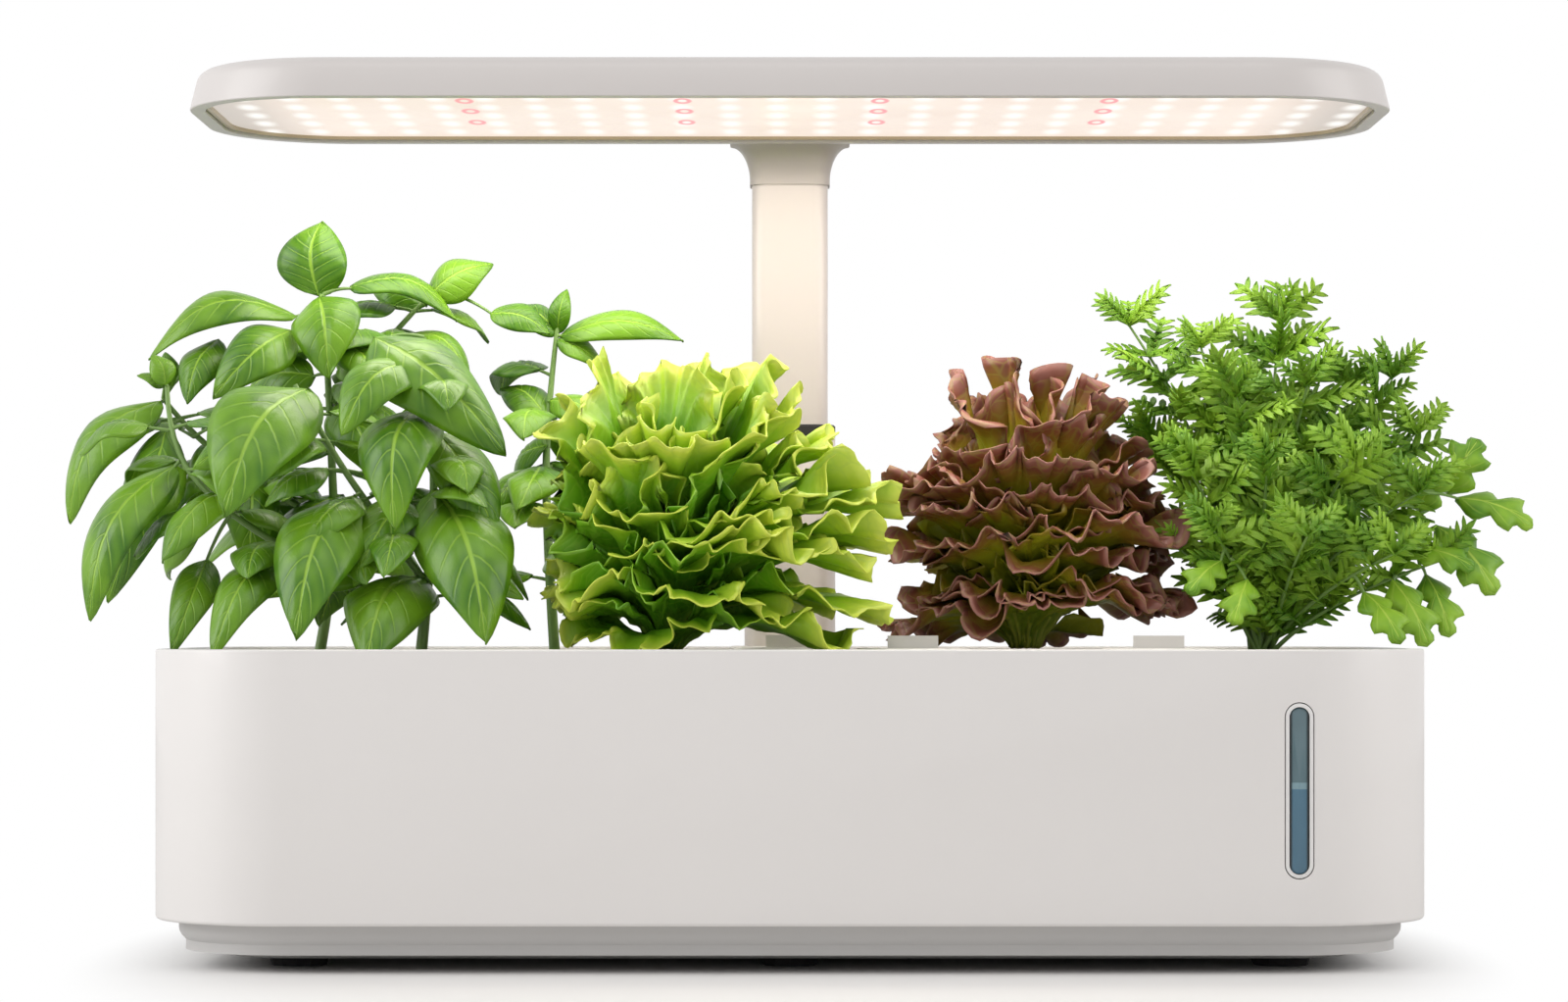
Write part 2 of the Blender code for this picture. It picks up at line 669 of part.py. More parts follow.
def pod_places():
    """Four holes in the front row and five, set between them, in the rear row."""
    front = [(POD_PITCH_X * (step - 1.5), POD_FRONT_Y) for step in range(4)]
    rear = [(POD_PITCH_X * (step - 2), POD_REAR_Y) for step in range(5)]
    return front + rear


def deck_prism(name, finish):
    inset = HOUSING_WALL + DECK_SIDE_GAP
    rings = [
        housing_ring(inset, DECK_BOTTOM),
        housing_ring(inset, DECK_TOP - DECK_EDGE),
        housing_ring(inset + DECK_EDGE, DECK_TOP),
    ]
    return lofted(name, rings, finish)


def make_deck():
    deck = deck_prism("grow_deck", "deck_white")
    skirt_inset = HOUSING_WALL + TANK_GAP + TANK_WALL + DECK_SIDE_GAP
    skirt_wide = HALF_LENGTH - skirt_inset
    skirt_front = FRONT_Y + skirt_inset
    skirt_rear = HALF_DEPTH - BAY_DEPTH - BAY_WALL - DECK_SIDE_GAP
    skirt_middle = (0.0, (skirt_front + skirt_rear) / 2)
    skirt_half = (skirt_rear - skirt_front) / 2
    radius = HOUSING_RADIUS - skirt_inset
    low = DECK_BOTTOM - DECK_SKIRT
    high = DECK_BOTTOM + OVERLAP
    rings = []
    for wall, z in ((0.0, low), (0.0, high), (DECK_SKIRT_WALL, high), (DECK_SKIRT_WALL, low)):
        rings.append(corner_ring(skirt_wide - wall, skirt_half - wall, radius - wall, z, skirt_middle))
    fuse(deck, [lofted("tool", rings, "steel", closed=True)])
    rear = block(
        "tool",
        (-HOUSING_LENGTH, SEAM_Y - GAP / 2, DECK_BOTTOM - OVERRUN - DECK_SKIRT),
        (HOUSING_LENGTH, HOUSING_DEPTH, HOUSING_TOP + OVERRUN),
    )
    cutters = [rear]
    for place in pod_places():
        cutters.append(cylinder(POD_HOLE_RADIUS, low - OVERRUN, DECK_TOP + OVERRUN, place, ROUND_STEPS))
    cut(deck, cutters)


def mast_ring(extra, z, steps=SMALL_CORNER_STEPS):
    """The tube's section, grown by extra all round, about the mast's axis."""
    return corner_ring(TUBE_HALF_X + extra, TUBE_HALF_Y + extra, TUBE_RADIUS + extra, z, (0.0, MAST_Y), steps)


def make_service_cover():
    """Rear strip: mast collar, button holes, board bosses and the filling hatch with its pin holes."""
    cover = deck_prism("service_cover", "deck_white")
    sleeve_outside = SLEEVE_SLIP + SLEEVE_WALL
    collar_out = sleeve_outside + COLLAR_WIDTH
    collar_rings = [
        mast_ring(collar_out, DECK_TOP - OVERLAP),
        mast_ring(collar_out, DECK_TOP + COLLAR_HEIGHT - DECK_EDGE),
        mast_ring(collar_out - DECK_EDGE, DECK_TOP + COLLAR_HEIGHT),
    ]
    ledge_low = DECK_BOTTOM - PORT_LEDGE_THICKNESS
    pocket_x = LID_LENGTH / 2 + GAP
    pocket_front = LID_Y - LID_DEPTH / 2 - GAP
    pocket_rear = LID_Y + LID_DEPTH / 2 + LID_REAR_GAP
    ledge = block(
        "tool",
        (LID_X - pocket_x - PORT_LEDGE, pocket_front - PORT_LEDGE / 2, ledge_low),
        (LID_X + pocket_x + PORT_LEDGE, pocket_rear + PORT_LEDGE / 2, DECK_BOTTOM + OVERLAP),
    )
    board_low = BOARD_TOP + GAP
    bosses = []
    for x in (BUTTON_XS[1] - BOARD_LENGTH / 2, BUTTON_XS[1] + BOARD_LENGTH / 2):
        inward = BOARD_BOSS_INSET if x < BUTTON_XS[1] else -BOARD_BOSS_INSET
        place = (x + inward, BUTTON_Y + BOARD_DEPTH / 2 - BOARD_BOSS_INSET)
        bosses.append(cylinder(BOARD_BOSS_RADIUS, board_low, DECK_BOTTOM + OVERLAP, place))
    fuse(cover, [lofted("tool", collar_rings, "steel"), ledge, *bosses])
    below = ledge_low - OVERRUN
    above = DECK_TOP + COLLAR_HEIGHT + OVERRUN
    front = block(
        "tool",
        (-HOUSING_LENGTH, -HOUSING_DEPTH, board_low - OVERRUN),
        (HOUSING_LENGTH, SEAM_Y + GAP / 2, above),
    )
    passage = [mast_ring(sleeve_outside + GAP, below), mast_ring(sleeve_outside + GAP, above)]
    pocket_low = DECK_TOP - LID_THICKNESS - GAP
    pocket = block(
        "tool",
        (LID_X - pocket_x, pocket_front, pocket_low),
        (LID_X + pocket_x, pocket_rear, above),
    )
    port = block(
        "tool",
        (LID_X - pocket_x + PORT_LEDGE, pocket_front + PORT_LEDGE, below),
        (LID_X + pocket_x - PORT_LEDGE, pocket_rear - PORT_LEDGE, above),
    )
    pin_run = LID_LENGTH / 2 + HINGE_PIN_LENGTH + GAP
    hinge_y, hinge_z = hinge_line()
    ring_steps = SMALL_ROUND_STEPS
    rings = []
    for x in (LID_X - pin_run, LID_X + pin_run):
        flat = round_ring(HINGE_PIN_RADIUS + GAP, 0.0, (0.0, 0.0), ring_steps)
        rings.append([Vector((x, hinge_y + point.x, hinge_z + point.y)) for point in flat])
    cutters = [front, lofted("tool", passage, "steel"), pocket, lofted("tool", rings, "steel"), port]
    for x in BUTTON_XS:
        cutters.append(cylinder(BUTTON_RADIUS + GAP, below, above, (x, BUTTON_Y), MEDIUM_ROUND_STEPS))
    for cutter in cutters:
        cut(cover, [cutter])


# Fill lid

def hinge_line():
    """Y and Z of the fill lid's pins."""
    return LID_Y + LID_DEPTH / 2 - LID_HINGE_INSET, DECK_TOP - LID_THICKNESS / 2 - GAP / 2


def make_fill_lid():
    hinge_y, hinge_z = hinge_line()
    lid_top = DECK_TOP
    low = lid_top - LID_THICKNESS
    front = LID_Y - LID_DEPTH / 2
    profile = [(front, low), (front, lid_top), (hinge_y, lid_top)]
    swing = LID_HINGE_INSET - OVERLAP
    for step in range(1, 6):
        angle = math.pi / 2 - step / 6 * math.pi
        profile.append((hinge_y + swing * math.cos(angle), hinge_z + LID_THICKNESS / 2 * math.sin(angle)))
    profile.append((hinge_y, low))
    half = LID_LENGTH / 2
    rings = [[Vector((x, y, z)) for y, z in profile] for x in (LID_X - half, LID_X + half)]
    lid = lofted("fill_lid", rings, "deck_white")
    reach = half + HINGE_PIN_LENGTH
    flat = round_ring(HINGE_PIN_RADIUS, 0.0, (0.0, 0.0), SMALL_ROUND_STEPS)
    rings = [[Vector((x, hinge_y + p.x, hinge_z + p.y)) for p in flat] for x in (LID_X - reach, LID_X + reach)]
    fuse(lid, [lofted("tool", rings, "steel")])
    notch = cylinder(LID_NOTCH, low - OVERRUN, lid_top + OVERRUN, (LID_X, front - LID_NOTCH / 2), ROUND_STEPS)
    cut(lid, [notch])


# Grow pods

def make_pod(number, place):
    """A slotted basket hung in the deck, with its growing sponge."""
    seat = POD_SEAT
    neck = POD_HOLE_RADIUS - GAP
    lip = POD_HOLE_RADIUS + BASKET_FLANGE
    low = seat - BASKET_HEIGHT
    profile = [
        (BASKET_FOOT_RADIUS, low),
        (neck, seat),
        (lip, seat),
        (lip, seat + BASKET_FLANGE_THICKNESS),
        (neck - BASKET_WALL, seat + BASKET_FLANGE_THICKNESS),
        (BASKET_FOOT_RADIUS - BASKET_WALL, low + BASKET_WALL),
    ]
    basket = turned(f"grow_basket_{number}", profile, "pod_white", place, MEDIUM_ROUND_STEPS)
    slot_low = low + BASKET_SLOT_BOTTOM
    slot_high = slot_low + BASKET_SLOT_HEIGHT
    half = BASKET_SLOT_WIDTH / 2
    along = block("tool", (place[0] - lip, place[1] - half, slot_low), (place[0] + lip, place[1] + half, slot_high))
    across = block("tool", (place[0] - half, place[1] - lip, slot_low), (place[0] + half, place[1] + lip, slot_high))
    cut(basket, [along])
    cut(basket, [across])
    top_radius = neck - BASKET_WALL - 2 * GAP
    foot_radius = BASKET_FOOT_RADIUS - BASKET_WALL - GAP
    profile = [
        (foot_radius, low + BASKET_WALL + GAP),
        (top_radius, SPONGE_TOP),
        (STEM_SOCKET_RADIUS, SPONGE_TOP),
        (STEM_SOCKET_RADIUS, SPONGE_TOP - STEM_SOCKET_DEPTH),
    ]
    turned(f"grow_sponge_{number}", profile, "sponge_brown", place, MEDIUM_ROUND_STEPS)


def make_hole_cap(number, place):
    """Cap over an unused hole, with a finger tab."""
    lip = POD_HOLE_RADIUS + BASKET_FLANGE
    spigot = POD_HOLE_RADIUS - GAP
    profile = [
        (spigot, POD_SEAT - CAP_SKIRT),
        (spigot, POD_SEAT),
        (lip, POD_SEAT),
        (lip, POD_SEAT + CAP_DOME / 2),
        (lip - CAP_DOME, POD_SEAT + CAP_DOME),
    ]
    hollow = [(spigot - CAP_WALL, POD_SEAT), (spigot - CAP_WALL, POD_SEAT - CAP_SKIRT)]
    cap = turned(f"hole_cap_{number}", hollow + profile, "deck_white", place, MEDIUM_ROUND_STEPS)
    top = POD_SEAT + CAP_DOME
    half = CAP_TAB_LENGTH / 2
    thin = CAP_TAB_WIDTH / 2
    tab = block(
        "tool",
        (place[0] - half, place[1] - thin, top - OVERLAP),
        (place[0] + half, place[1] + thin, top + CAP_TAB_HEIGHT),
    )
    fuse(cap, [tab])


# Mast

def make_mast():
    inside = SLEEVE_SLIP
    outside = SLEEVE_SLIP + SLEEVE_WALL
    mouth = GAP + BUSH_WALL + GAP
    foot_half_x = TUBE_HALF_X + outside + SLEEVE_FOOT_X
    foot_half_y = TUBE_HALF_Y + outside + SLEEVE_FOOT_Y
    foot = []
    for z in (SLEEVE_BOTTOM, SLEEVE_INSIDE):
        foot.append(corner_ring(foot_half_x, foot_half_y, TUBE_RADIUS, z, (0.0, MAST_Y), SMALL_CORNER_STEPS))
    rings = foot + [
        mast_ring(outside, SLEEVE_INSIDE),
        mast_ring(outside, SLEEVE_TOP),
        mast_ring(mouth, SLEEVE_TOP),
        mast_ring(mouth, SLEEVE_TOP - BUSH_DEPTH),
        mast_ring(inside, SLEEVE_TOP - BUSH_DEPTH),
        mast_ring(inside, SLEEVE_INSIDE),
    ]
    lofted("mast_sleeve", rings, "shell_white")
    bush_low = SLEEVE_TOP - BUSH_DEPTH + GAP
    bush_seat = SLEEVE_TOP + GAP
    rings = [
        mast_ring(GAP, bush_low),
        mast_ring(GAP + BUSH_WALL, bush_low),
        mast_ring(GAP + BUSH_WALL, bush_seat),
        mast_ring(outside, bush_seat),
        mast_ring(outside, bush_seat + BUSH_HEAD - DECK_EDGE),
        mast_ring(outside - DECK_EDGE, bush_seat + BUSH_HEAD),
        mast_ring(GAP, bush_seat + BUSH_HEAD),
    ]
    lofted("mast_bush", rings, "tray_grey", closed=True)
    rings = [
        mast_ring(-TUBE_SPIGOT_STEP - TUBE_WALL, TUBE_BOTTOM),
        mast_ring(0.0, TUBE_BOTTOM),
        mast_ring(0.0, TUBE_SHOULDER),
        mast_ring(-TUBE_SPIGOT_STEP, TUBE_SHOULDER),
        mast_ring(-TUBE_SPIGOT_STEP, TUBE_TOP),
        mast_ring(-TUBE_SPIGOT_STEP - TUBE_WALL, TUBE_TOP),
    ]
    lofted("mast_tube", rings, "mast_silver", closed=True)


# Lamp

def lamp_ring(inset, z):
    half_x = LAMP_LENGTH / 2 - inset
    half_y = LAMP_DEPTH / 2 - inset
    return corner_ring(half_x, half_y, LAMP_RADIUS - inset, z, (0.0, LAMP_CENTRE_Y))


def neck_ring(extra_x, extra_front, z):
    """The neck's section: it widens sideways and reaches forward into the lamp's rear wall."""
    rear = MAST_Y + TUBE_HALF_Y + NECK_WALL
    front = MAST_Y - TUBE_HALF_Y - NECK_WALL - extra_front
    half_x = TUBE_HALF_X + NECK_WALL + extra_x
    middle = (0.0, (front + rear) / 2)
    return corner_ring(half_x, (rear - front) / 2, TUBE_RADIUS + NECK_WALL, z, middle, SMALL_CORNER_STEPS)


def make_lamp_housing():
    """Drafted shell with a rolled top edge and an inner rim, one moulding with the neck behind it."""
    shoulder = LAMP_TOP - LAMP_CROWN
    wall_inset = LAMP_WALL
    rings = [
        lamp_ring(LAMP_DRAFT + LAMP_WALL, LAMP_ROOF),
        lamp_ring(wall_inset + LAMP_DRAFT / 2, LAMP_ROOF - LAMP_WALL),
        lamp_ring(wall_inset, LAMP_RIM_TOP),
        lamp_ring(LAMP_RIM, LAMP_RIM_TOP),
        lamp_ring(LAMP_RIM, LAMP_BOTTOM),
        lamp_ring(LAMP_EDGE, LAMP_BOTTOM),
        lamp_ring(0.0, LAMP_BOTTOM + LAMP_EDGE),
        lamp_ring(LAMP_DRAFT, shoulder),
    ]
    for step in (1, 2):
        angle = step / 2 * math.pi / 2
        inset = LAMP_DRAFT + LAMP_CROWN_INSET * (1 - math.cos(angle))
        rings.append(lamp_ring(inset, shoulder + LAMP_CROWN * math.sin(angle)))
    housing = lofted("lamp_housing", rings, "shell_white")
    lamp_rear = LAMP_CENTRE_Y + LAMP_DEPTH / 2
    forward = MAST_Y - TUBE_HALF_Y - NECK_WALL - (lamp_rear - LAMP_WALL + OVERLAP)
    steps = 4
    neck = [neck_ring(0.0, 0.0, NECK_BOTTOM)]
    for step in range(1, steps + 1):
        angle = step / steps * math.pi / 2
        flare = 1 - math.cos(angle)
        rise = NECK_DROP * (1 + math.sin(angle)) / 2
        neck.append(neck_ring(NECK_FLARE_X * flare, forward * flare, NECK_BOTTOM + rise))
    neck.append(neck_ring(NECK_FLARE_X, forward, LAMP_TOP - NECK_TOP_DROP - LAMP_EDGE))
    neck.append(neck_ring(NECK_FLARE_X - LAMP_EDGE, forward - LAMP_EDGE, LAMP_TOP - NECK_TOP_DROP))
    bosses = []
    for side_x in (-1, 1):
        for side_y in (-1, 1):
            place = (side_x * PLATE_BOSS_X, LAMP_CENTRE_Y + side_y * PLATE_BOSS_Y)
            bosses.append(cylinder(PLATE_BOSS_RADIUS, PLATE_TOP + GAP, LAMP_ROOF + OVERLAP, place))
    fuse(housing, [lofted("tool", neck, "steel"), *bosses])
    socket = [
        mast_ring(GAP - TUBE_SPIGOT_STEP, NECK_BOTTOM - OVERRUN),
        mast_ring(GAP - TUBE_SPIGOT_STEP, TUBE_TOP + GAP),
    ]
    cut(housing, [lofted("tool", socket, "steel")])


def make_lamp_inside():
    plate = [lamp_ring(PLATE_INSET, PLATE_BOTTOM), lamp_ring(PLATE_INSET, PLATE_TOP)]
    lofted("heat_plate", plate, "aluminium")
    board_rings = [lamp_ring(LED_BOARD_INSET, LED_BOARD_BOTTOM), lamp_ring(LED_BOARD_INSET, LED_BOARD_TOP)]
    board = lofted("led_board", board_rings, "board_white")
    half = LED_SIZE / 2
    leds = []
    for row in range(LED_ROWS):
        y = LAMP_CENTRE_Y + (row - (LED_ROWS - 1) / 2) * LED_ROW_PITCH
        for column in range(LED_COLUMNS):
            x = (column - (LED_COLUMNS - 1) / 2) * LED_COLUMN_PITCH
            low = (x - half, y - half, LED_BOARD_BOTTOM - LED_THICKNESS)
            leds.append(block("tool", low, (x + half, y + half, LED_BOARD_BOTTOM + OVERLAP)))
    fuse(board, leds)
    outside = LAMP_RIM + GAP
    inside = outside + FRAME_WIDTH
    lip = inside + FRAME_LIP
    flange = LAMP_WALL + 3 * GAP
    rings = [
        lamp_ring(lip, FRAME_BOTTOM),
        lamp_ring(outside, FRAME_BOTTOM),
        lamp_ring(outside, FRAME_SEAT),
        lamp_ring(flange, FRAME_SEAT),
        lamp_ring(flange, FRAME_SEAT + FRAME_FLANGE),
        lamp_ring(inside, FRAME_SEAT + FRAME_FLANGE),
        lamp_ring(inside, FRAME_BOTTOM + FRAME_LIP_THICKNESS),
        lamp_ring(lip, FRAME_BOTTOM + FRAME_LIP_THICKNESS),
    ]
    lofted("lens_frame", rings, "frame_cream", closed=True)
    lens = [lamp_ring(inside + GAP, LENS_BOTTOM), lamp_ring(inside + GAP, LENS_BOTTOM + LENS_THICKNESS)]
    lofted("lamp_lens", lens, "lens_warm")


# Controls

BUTTONS = ("light_button", "timer_button", "pump_button")


def make_controls():
    flange_top = DECK_BOTTOM - GAP
    flange_low = flange_top - BUTTON_FLANGE_THICKNESS
    top = DECK_TOP + BUTTON_PROUD
    profile = [
        (PLUNGER_RADIUS, PLUNGER_BOTTOM),
        (PLUNGER_RADIUS, flange_low),
        (BUTTON_RADIUS + BUTTON_FLANGE, flange_low),
        (BUTTON_RADIUS + BUTTON_FLANGE, flange_top),
        (BUTTON_RADIUS, flange_top),
        (BUTTON_RADIUS, top),
    ]
    for name, x in zip(BUTTONS, BUTTON_XS):
        turned(name, profile, "button_grey", (x, BUTTON_Y), MEDIUM_ROUND_STEPS)
    low = (BUTTON_XS[1] - BOARD_LENGTH / 2, BUTTON_Y - BOARD_DEPTH / 2, BOARD_TOP - BOARD_THICKNESS)
    high = (BUTTON_XS[1] + BOARD_LENGTH / 2, BUTTON_Y + BOARD_DEPTH / 2, BOARD_TOP)
    board = block("control_board", low, high, "board_green")
    half = SWITCH_SIZE / 2
    switches = []
    for x in BUTTON_XS:
        foot = (x - half, BUTTON_Y - half, BOARD_TOP - OVERLAP)
        switches.append(block("tool", foot, (x + half, BUTTON_Y + half, BOARD_TOP + SWITCH_HEIGHT)))
    fuse(board, switches)
    rear = HALF_DEPTH - WINDOW_SETBACK
    wall_face = HALF_DEPTH - HOUSING_WALL - GAP
    profile = [
        (INLET_RADIUS, rear - INLET_LENGTH),
        (INLET_RADIUS, wall_face - INLET_COLLAR_THICKNESS),
        (INLET_RADIUS + INLET_COLLAR, wall_face - INLET_COLLAR_THICKNESS),
        (INLET_RADIUS + INLET_COLLAR, wall_face),
        (INLET_RADIUS, wall_face),
        (INLET_RADIUS, rear),
        (INLET_BORE_RADIUS, rear),
        (INLET_BORE_RADIUS, rear - INLET_BORE_DEPTH),
        (INLET_PIN_RADIUS, rear - INLET_BORE_DEPTH),
        (INLET_PIN_RADIUS, rear - INLET_PIN_DROP),
    ]
    inlet = turned("dc_inlet", profile, "rubber_black", steps=MEDIUM_ROUND_STEPS)
    lay_along_y(inlet, Vector((INLET_X, 0.0, INLET_Z)))


# Pump

def make_pump():
    """Chamber open to the front, a rotor bore behind it, and an outlet nozzle on top."""
    low = TANK_INSIDE + GAP
    middle_z = low + PUMP_HEIGHT / 2
    front = PUMP_Y - PUMP_DEPTH / 2
    axis = Vector((PUMP_X, front, middle_z))
    half_x = PUMP_LENGTH / 2
    half_z = PUMP_HEIGHT / 2
    rings = [corner_ring(half_x, half_z, PUMP_RADIUS, y, steps=SMALL_CORNER_STEPS) for y in (0.0, PUMP_DEPTH)]
    housing = lay_along_y(lofted("pump_housing", rings, "pump_black"), axis)
    top = low + PUMP_HEIGHT
    nozzle_place = (PUMP_X, front + CHAMBER_DEPTH / 2)
    fuse(housing, [cylinder(NOZZLE_RADIUS, top - OVERLAP, top + NOZZLE_HEIGHT, nozzle_place)])
    shaft_back = CHAMBER_DEPTH + ROTOR_LENGTH + SHAFT_SEAT
    chamber = turned("tool", [(CHAMBER_RADIUS, -OVERRUN), (CHAMBER_RADIUS, CHAMBER_DEPTH)], "steel")
    clear_radius = (ROTOR_RADIUS + GAP) / math.cos(math.pi / SMALL_ROUND_STEPS)
    rotor_bore = [(clear_radius, -OVERRUN), (clear_radius, CHAMBER_DEPTH + ROTOR_LENGTH)]
    bore = turned("tool", rotor_bore, "steel", steps=SMALL_ROUND_STEPS)
    seat = [(SHAFT_RADIUS + GAP, -OVERRUN), (SHAFT_RADIUS + GAP, shaft_back)]
    pin_hole = turned("tool", seat, "steel", steps=SMALL_ROUND_STEPS)
    for cutter in (chamber, bore, pin_hole):
        cut(housing, [lay_along_y(cutter, axis)])
    cut(housing, [cylinder(NOZZLE_BORE_RADIUS, middle_z, top + NOZZLE_HEIGHT + OVERRUN, nozzle_place)])
    blade_back = CHAMBER_DEPTH - 2 * GAP
    blade_front = blade_back - BLADE_DEPTH
    rotor_back = CHAMBER_DEPTH + ROTOR_LENGTH - 2 * GAP
    bore_radius = SHAFT_RADIUS + GAP
    profile = [
        (bore_radius, blade_front),
        (HUB_RADIUS, blade_front),
        (HUB_RADIUS, blade_back),
        (ROTOR_RADIUS, blade_back),
        (ROTOR_RADIUS, rotor_back),
        (bore_radius, rotor_back),
    ]
    impeller = turned("pump_impeller", profile, "shell_white", steps=SMALL_ROUND_STEPS, closed=True)
    reach = CHAMBER_RADIUS - BLADE_CLEARANCE
    blades = []
    for step in range(BLADE_COUNT):
        turn = 2 * math.pi * step / BLADE_COUNT
        half = BLADE_THICKNESS / 2
        inner = (bore_radius + HUB_RADIUS) / 2
        blade = block("tool", (inner, -half, blade_front + OVERLAP), (reach, half, blade_back - OVERLAP))
        for vertex in blade.data.vertices:
            x, y, z = vertex.co
            vertex.co.x = x * math.cos(turn) - y * math.sin(turn)
            vertex.co.y = x * math.sin(turn) + y * math.cos(turn)
        blades.append(blade)
    lay_along_y(fuse(impeller, blades), axis)
    shaft_profile = [(SHAFT_RADIUS, GAP), (SHAFT_RADIUS, shaft_back - GAP)]
    shaft = turned("impeller_shaft", shaft_profile, "steel", steps=SMALL_ROUND_STEPS)
    lay_along_y(shaft, axis)
    strainer_origin = axis - Vector((0.0, STRAINER_THICKNESS + GAP, 0.0))
    rings = []
    for y in (0.0, STRAINER_THICKNESS):
        rings.append(corner_ring(half_x, half_z, PUMP_RADIUS, y, steps=SMALL_CORNER_STEPS))
    strainer = lofted("pump_strainer", rings, "pump_black")
    slots = []
    for step in range(STRAINER_SLOTS):
        x = (step - (STRAINER_SLOTS - 1) / 2) * STRAINER_SLOT_PITCH
        half = STRAINER_SLOT_WIDTH / 2
        tall = STRAINER_SLOT_HEIGHT / 2
        slots.append(block("tool", (x - half, -tall, -OVERRUN), (x + half, tall, STRAINER_THICKNESS + OVERRUN)))
    lay_along_y(cut(strainer, slots), strainer_origin)


# Plants

def bend(start, end, rise, share):
    """A point along a chord that is lifted into an arch."""
    return start.lerp(end, share) + rise * math.sin(math.pi * share)


def tube_piece(points, radii, sides=STEM_SIDES):
    """A stem: one ring of sides around each point, square to the run."""
    rings = []
    for index, point in enumerate(points):
        before = points[max(index - 1, 0)]
        after = points[min(index + 1, len(points) - 1)]
        along = (after - before).normalized()
        across = along.cross(Vector((0.0, 1.0, 0.0)))
        if across.length < OVERLAP:
            across = Vector((1.0, 0.0, 0.0))
        across.normalize()
        other = along.cross(across)
        ring = []
        for side in range(sides):
            turn = 2 * math.pi * side / sides
            ring.append(point + (across * math.cos(turn) + other * math.sin(turn)) * radii[index])
        rings.append(ring)
    return lofted("tool", rings, "steel")


# Along a basil leaf: place on the midrib and width, as shares of its length and width
BASIL_OUTLINE_SHARES = ((0.0, 0.06), (0.28, 0.90), (0.68, 0.78), (1.0, 0.04))


STALK_REACH_SHARE = 0.16
LEAF_ARCH_SHARE = 0.12
LEAF_FACING = Vector((0.0, -0.75, 0.65))


def leaf_normal(base, tip):
    """Leaves turn their upper side to the front and up, square to their own run."""
    along = (tip - base).normalized()
    return (LEAF_FACING - along * LEAF_FACING.dot(along)).normalized()


def basil_leaf(base, tip, width):
    """A crowned blade: its edges drop below the midrib and its run arches over."""
    normal = leaf_normal(base, tip)
    across = (tip - base).normalized().cross(normal)
    rise = normal * (tip - base).length * LEAF_ARCH_SHARE
    rings = []
    for share, width_share in BASIL_OUTLINE_SHARES:
        middle = bend(base, tip, rise, share)
        half = across * (width * width_share / 2)
        drop = normal * (width * width_share * 0.16)
        thick = normal * (BASIL_LEAF_THICKNESS / 2 * (0.25 + 0.75 * width_share))
        rings.append([middle + half - drop, middle + thick, middle - half - drop, middle - thick])
    return lofted("tool", rings, "steel")


# Each basil: stems as runs of (x, y, z), leaves as (base, tip, width), all in shares of the plant's height
BASIL_TALL_STEM_SHARES = (
    ((0.0, 0.0, 0.0), (0.04, 0.0, 0.22), (0.03, 0.0, 0.44), (0.02, 0.0, 0.67), (0.01, -0.02, 0.86)),
    ((0.04, 0.0, 0.30), (-0.16, -0.02, 0.42), (-0.30, -0.04, 0.52), (-0.37, -0.04, 0.61)),
    ((0.03, 0.0, 0.60), (0.14, 0.07, 0.74), (0.26, 0.13, 0.88)),
)
BASIL_TALL_LEAF_SHARES = (
    ((0.01, -0.02, 0.85), (0.0, 0.02, 1.03), 0.17),
    ((0.01, -0.02, 0.84), (0.03, -0.14, 0.66), 0.16),
    ((0.0, -0.01, 0.84), (-0.42, 0.06, 0.73), 0.13),
    ((0.02, 0.0, 0.76), (-0.40, 0.15, 0.62), 0.11),
    ((0.02, -0.01, 0.75), (-0.24, -0.14, 0.60), 0.13),
    ((-0.36, -0.04, 0.60), (-0.585, -0.12, 0.33), 0.15),
    ((0.02, 0.0, 0.85), (0.33, 0.06, 0.89), 0.12),
    ((0.25, 0.13, 0.87), (0.36, 0.17, 0.95), 0.13),
    ((0.03, 0.0, 0.47), (-0.18, 0.18, 0.48), 0.14),
    ((0.03, 0.0, 0.52), (0.20, 0.18, 0.52), 0.14),
    ((0.03, 0.0, 0.24), (-0.32, 0.13, 0.26), 0.15),
    ((0.03, 0.0, 0.26), (0.24, 0.15, 0.20), 0.15),
)
BASIL_FRONT_STEM_SHARES = (
    ((0.0, 0.0, 0.0), (0.03, 0.0, 0.30), (0.04, 0.02, 0.56), (0.0, 0.10, 0.92)),
    ((0.02, 0.0, 0.20), (-0.16, -0.02, 0.44), (-0.28, 0.02, 0.62), (-0.37, 0.06, 0.78)),
    ((0.01, 0.0, 0.12), (-0.32, 0.0, 0.26), (-0.58, 0.03, 0.42), (-0.74, 0.08, 0.60), (-0.75, 0.12, 0.78)),
)
BASIL_FRONT_LEAF_SHARES = (
    ((-0.01, 0.10, 0.91), (0.24, -0.18, 0.61), 0.25),
    ((0.03, 0.02, 0.70), (-0.05, -0.27, 0.39), 0.26),
    ((0.04, 0.0, 0.46), (0.17, -0.27, 0.06), 0.28),
    ((-0.18, -0.02, 0.46), (-0.30, -0.31, 0.10), 0.27),
    ((-0.37, 0.05, 0.78), (-0.52, -0.25, 0.41), 0.30),
    ((-0.68, 0.05, 0.53), (-0.92, -0.11, 0.11), 0.21),
    ((-0.55, 0.03, 0.40), (-0.74, -0.15, 0.06), 0.14),
    ((-0.44, 0.01, 0.34), (-0.52, -0.31, 0.04), 0.17),
    ((0.01, 0.0, 0.20), (-0.09, -0.36, 0.05), 0.20),
    ((-0.75, 0.11, 0.76), (-0.77, 0.13, 0.86), 0.08),
)
BASIL_SHORT_STEM_SHARES = (
    ((0.0, 0.0, 0.0), (-0.03, 0.05, 0.40), (-0.03, 0.10, 0.70), (0.0, 0.15, 0.98)),
)
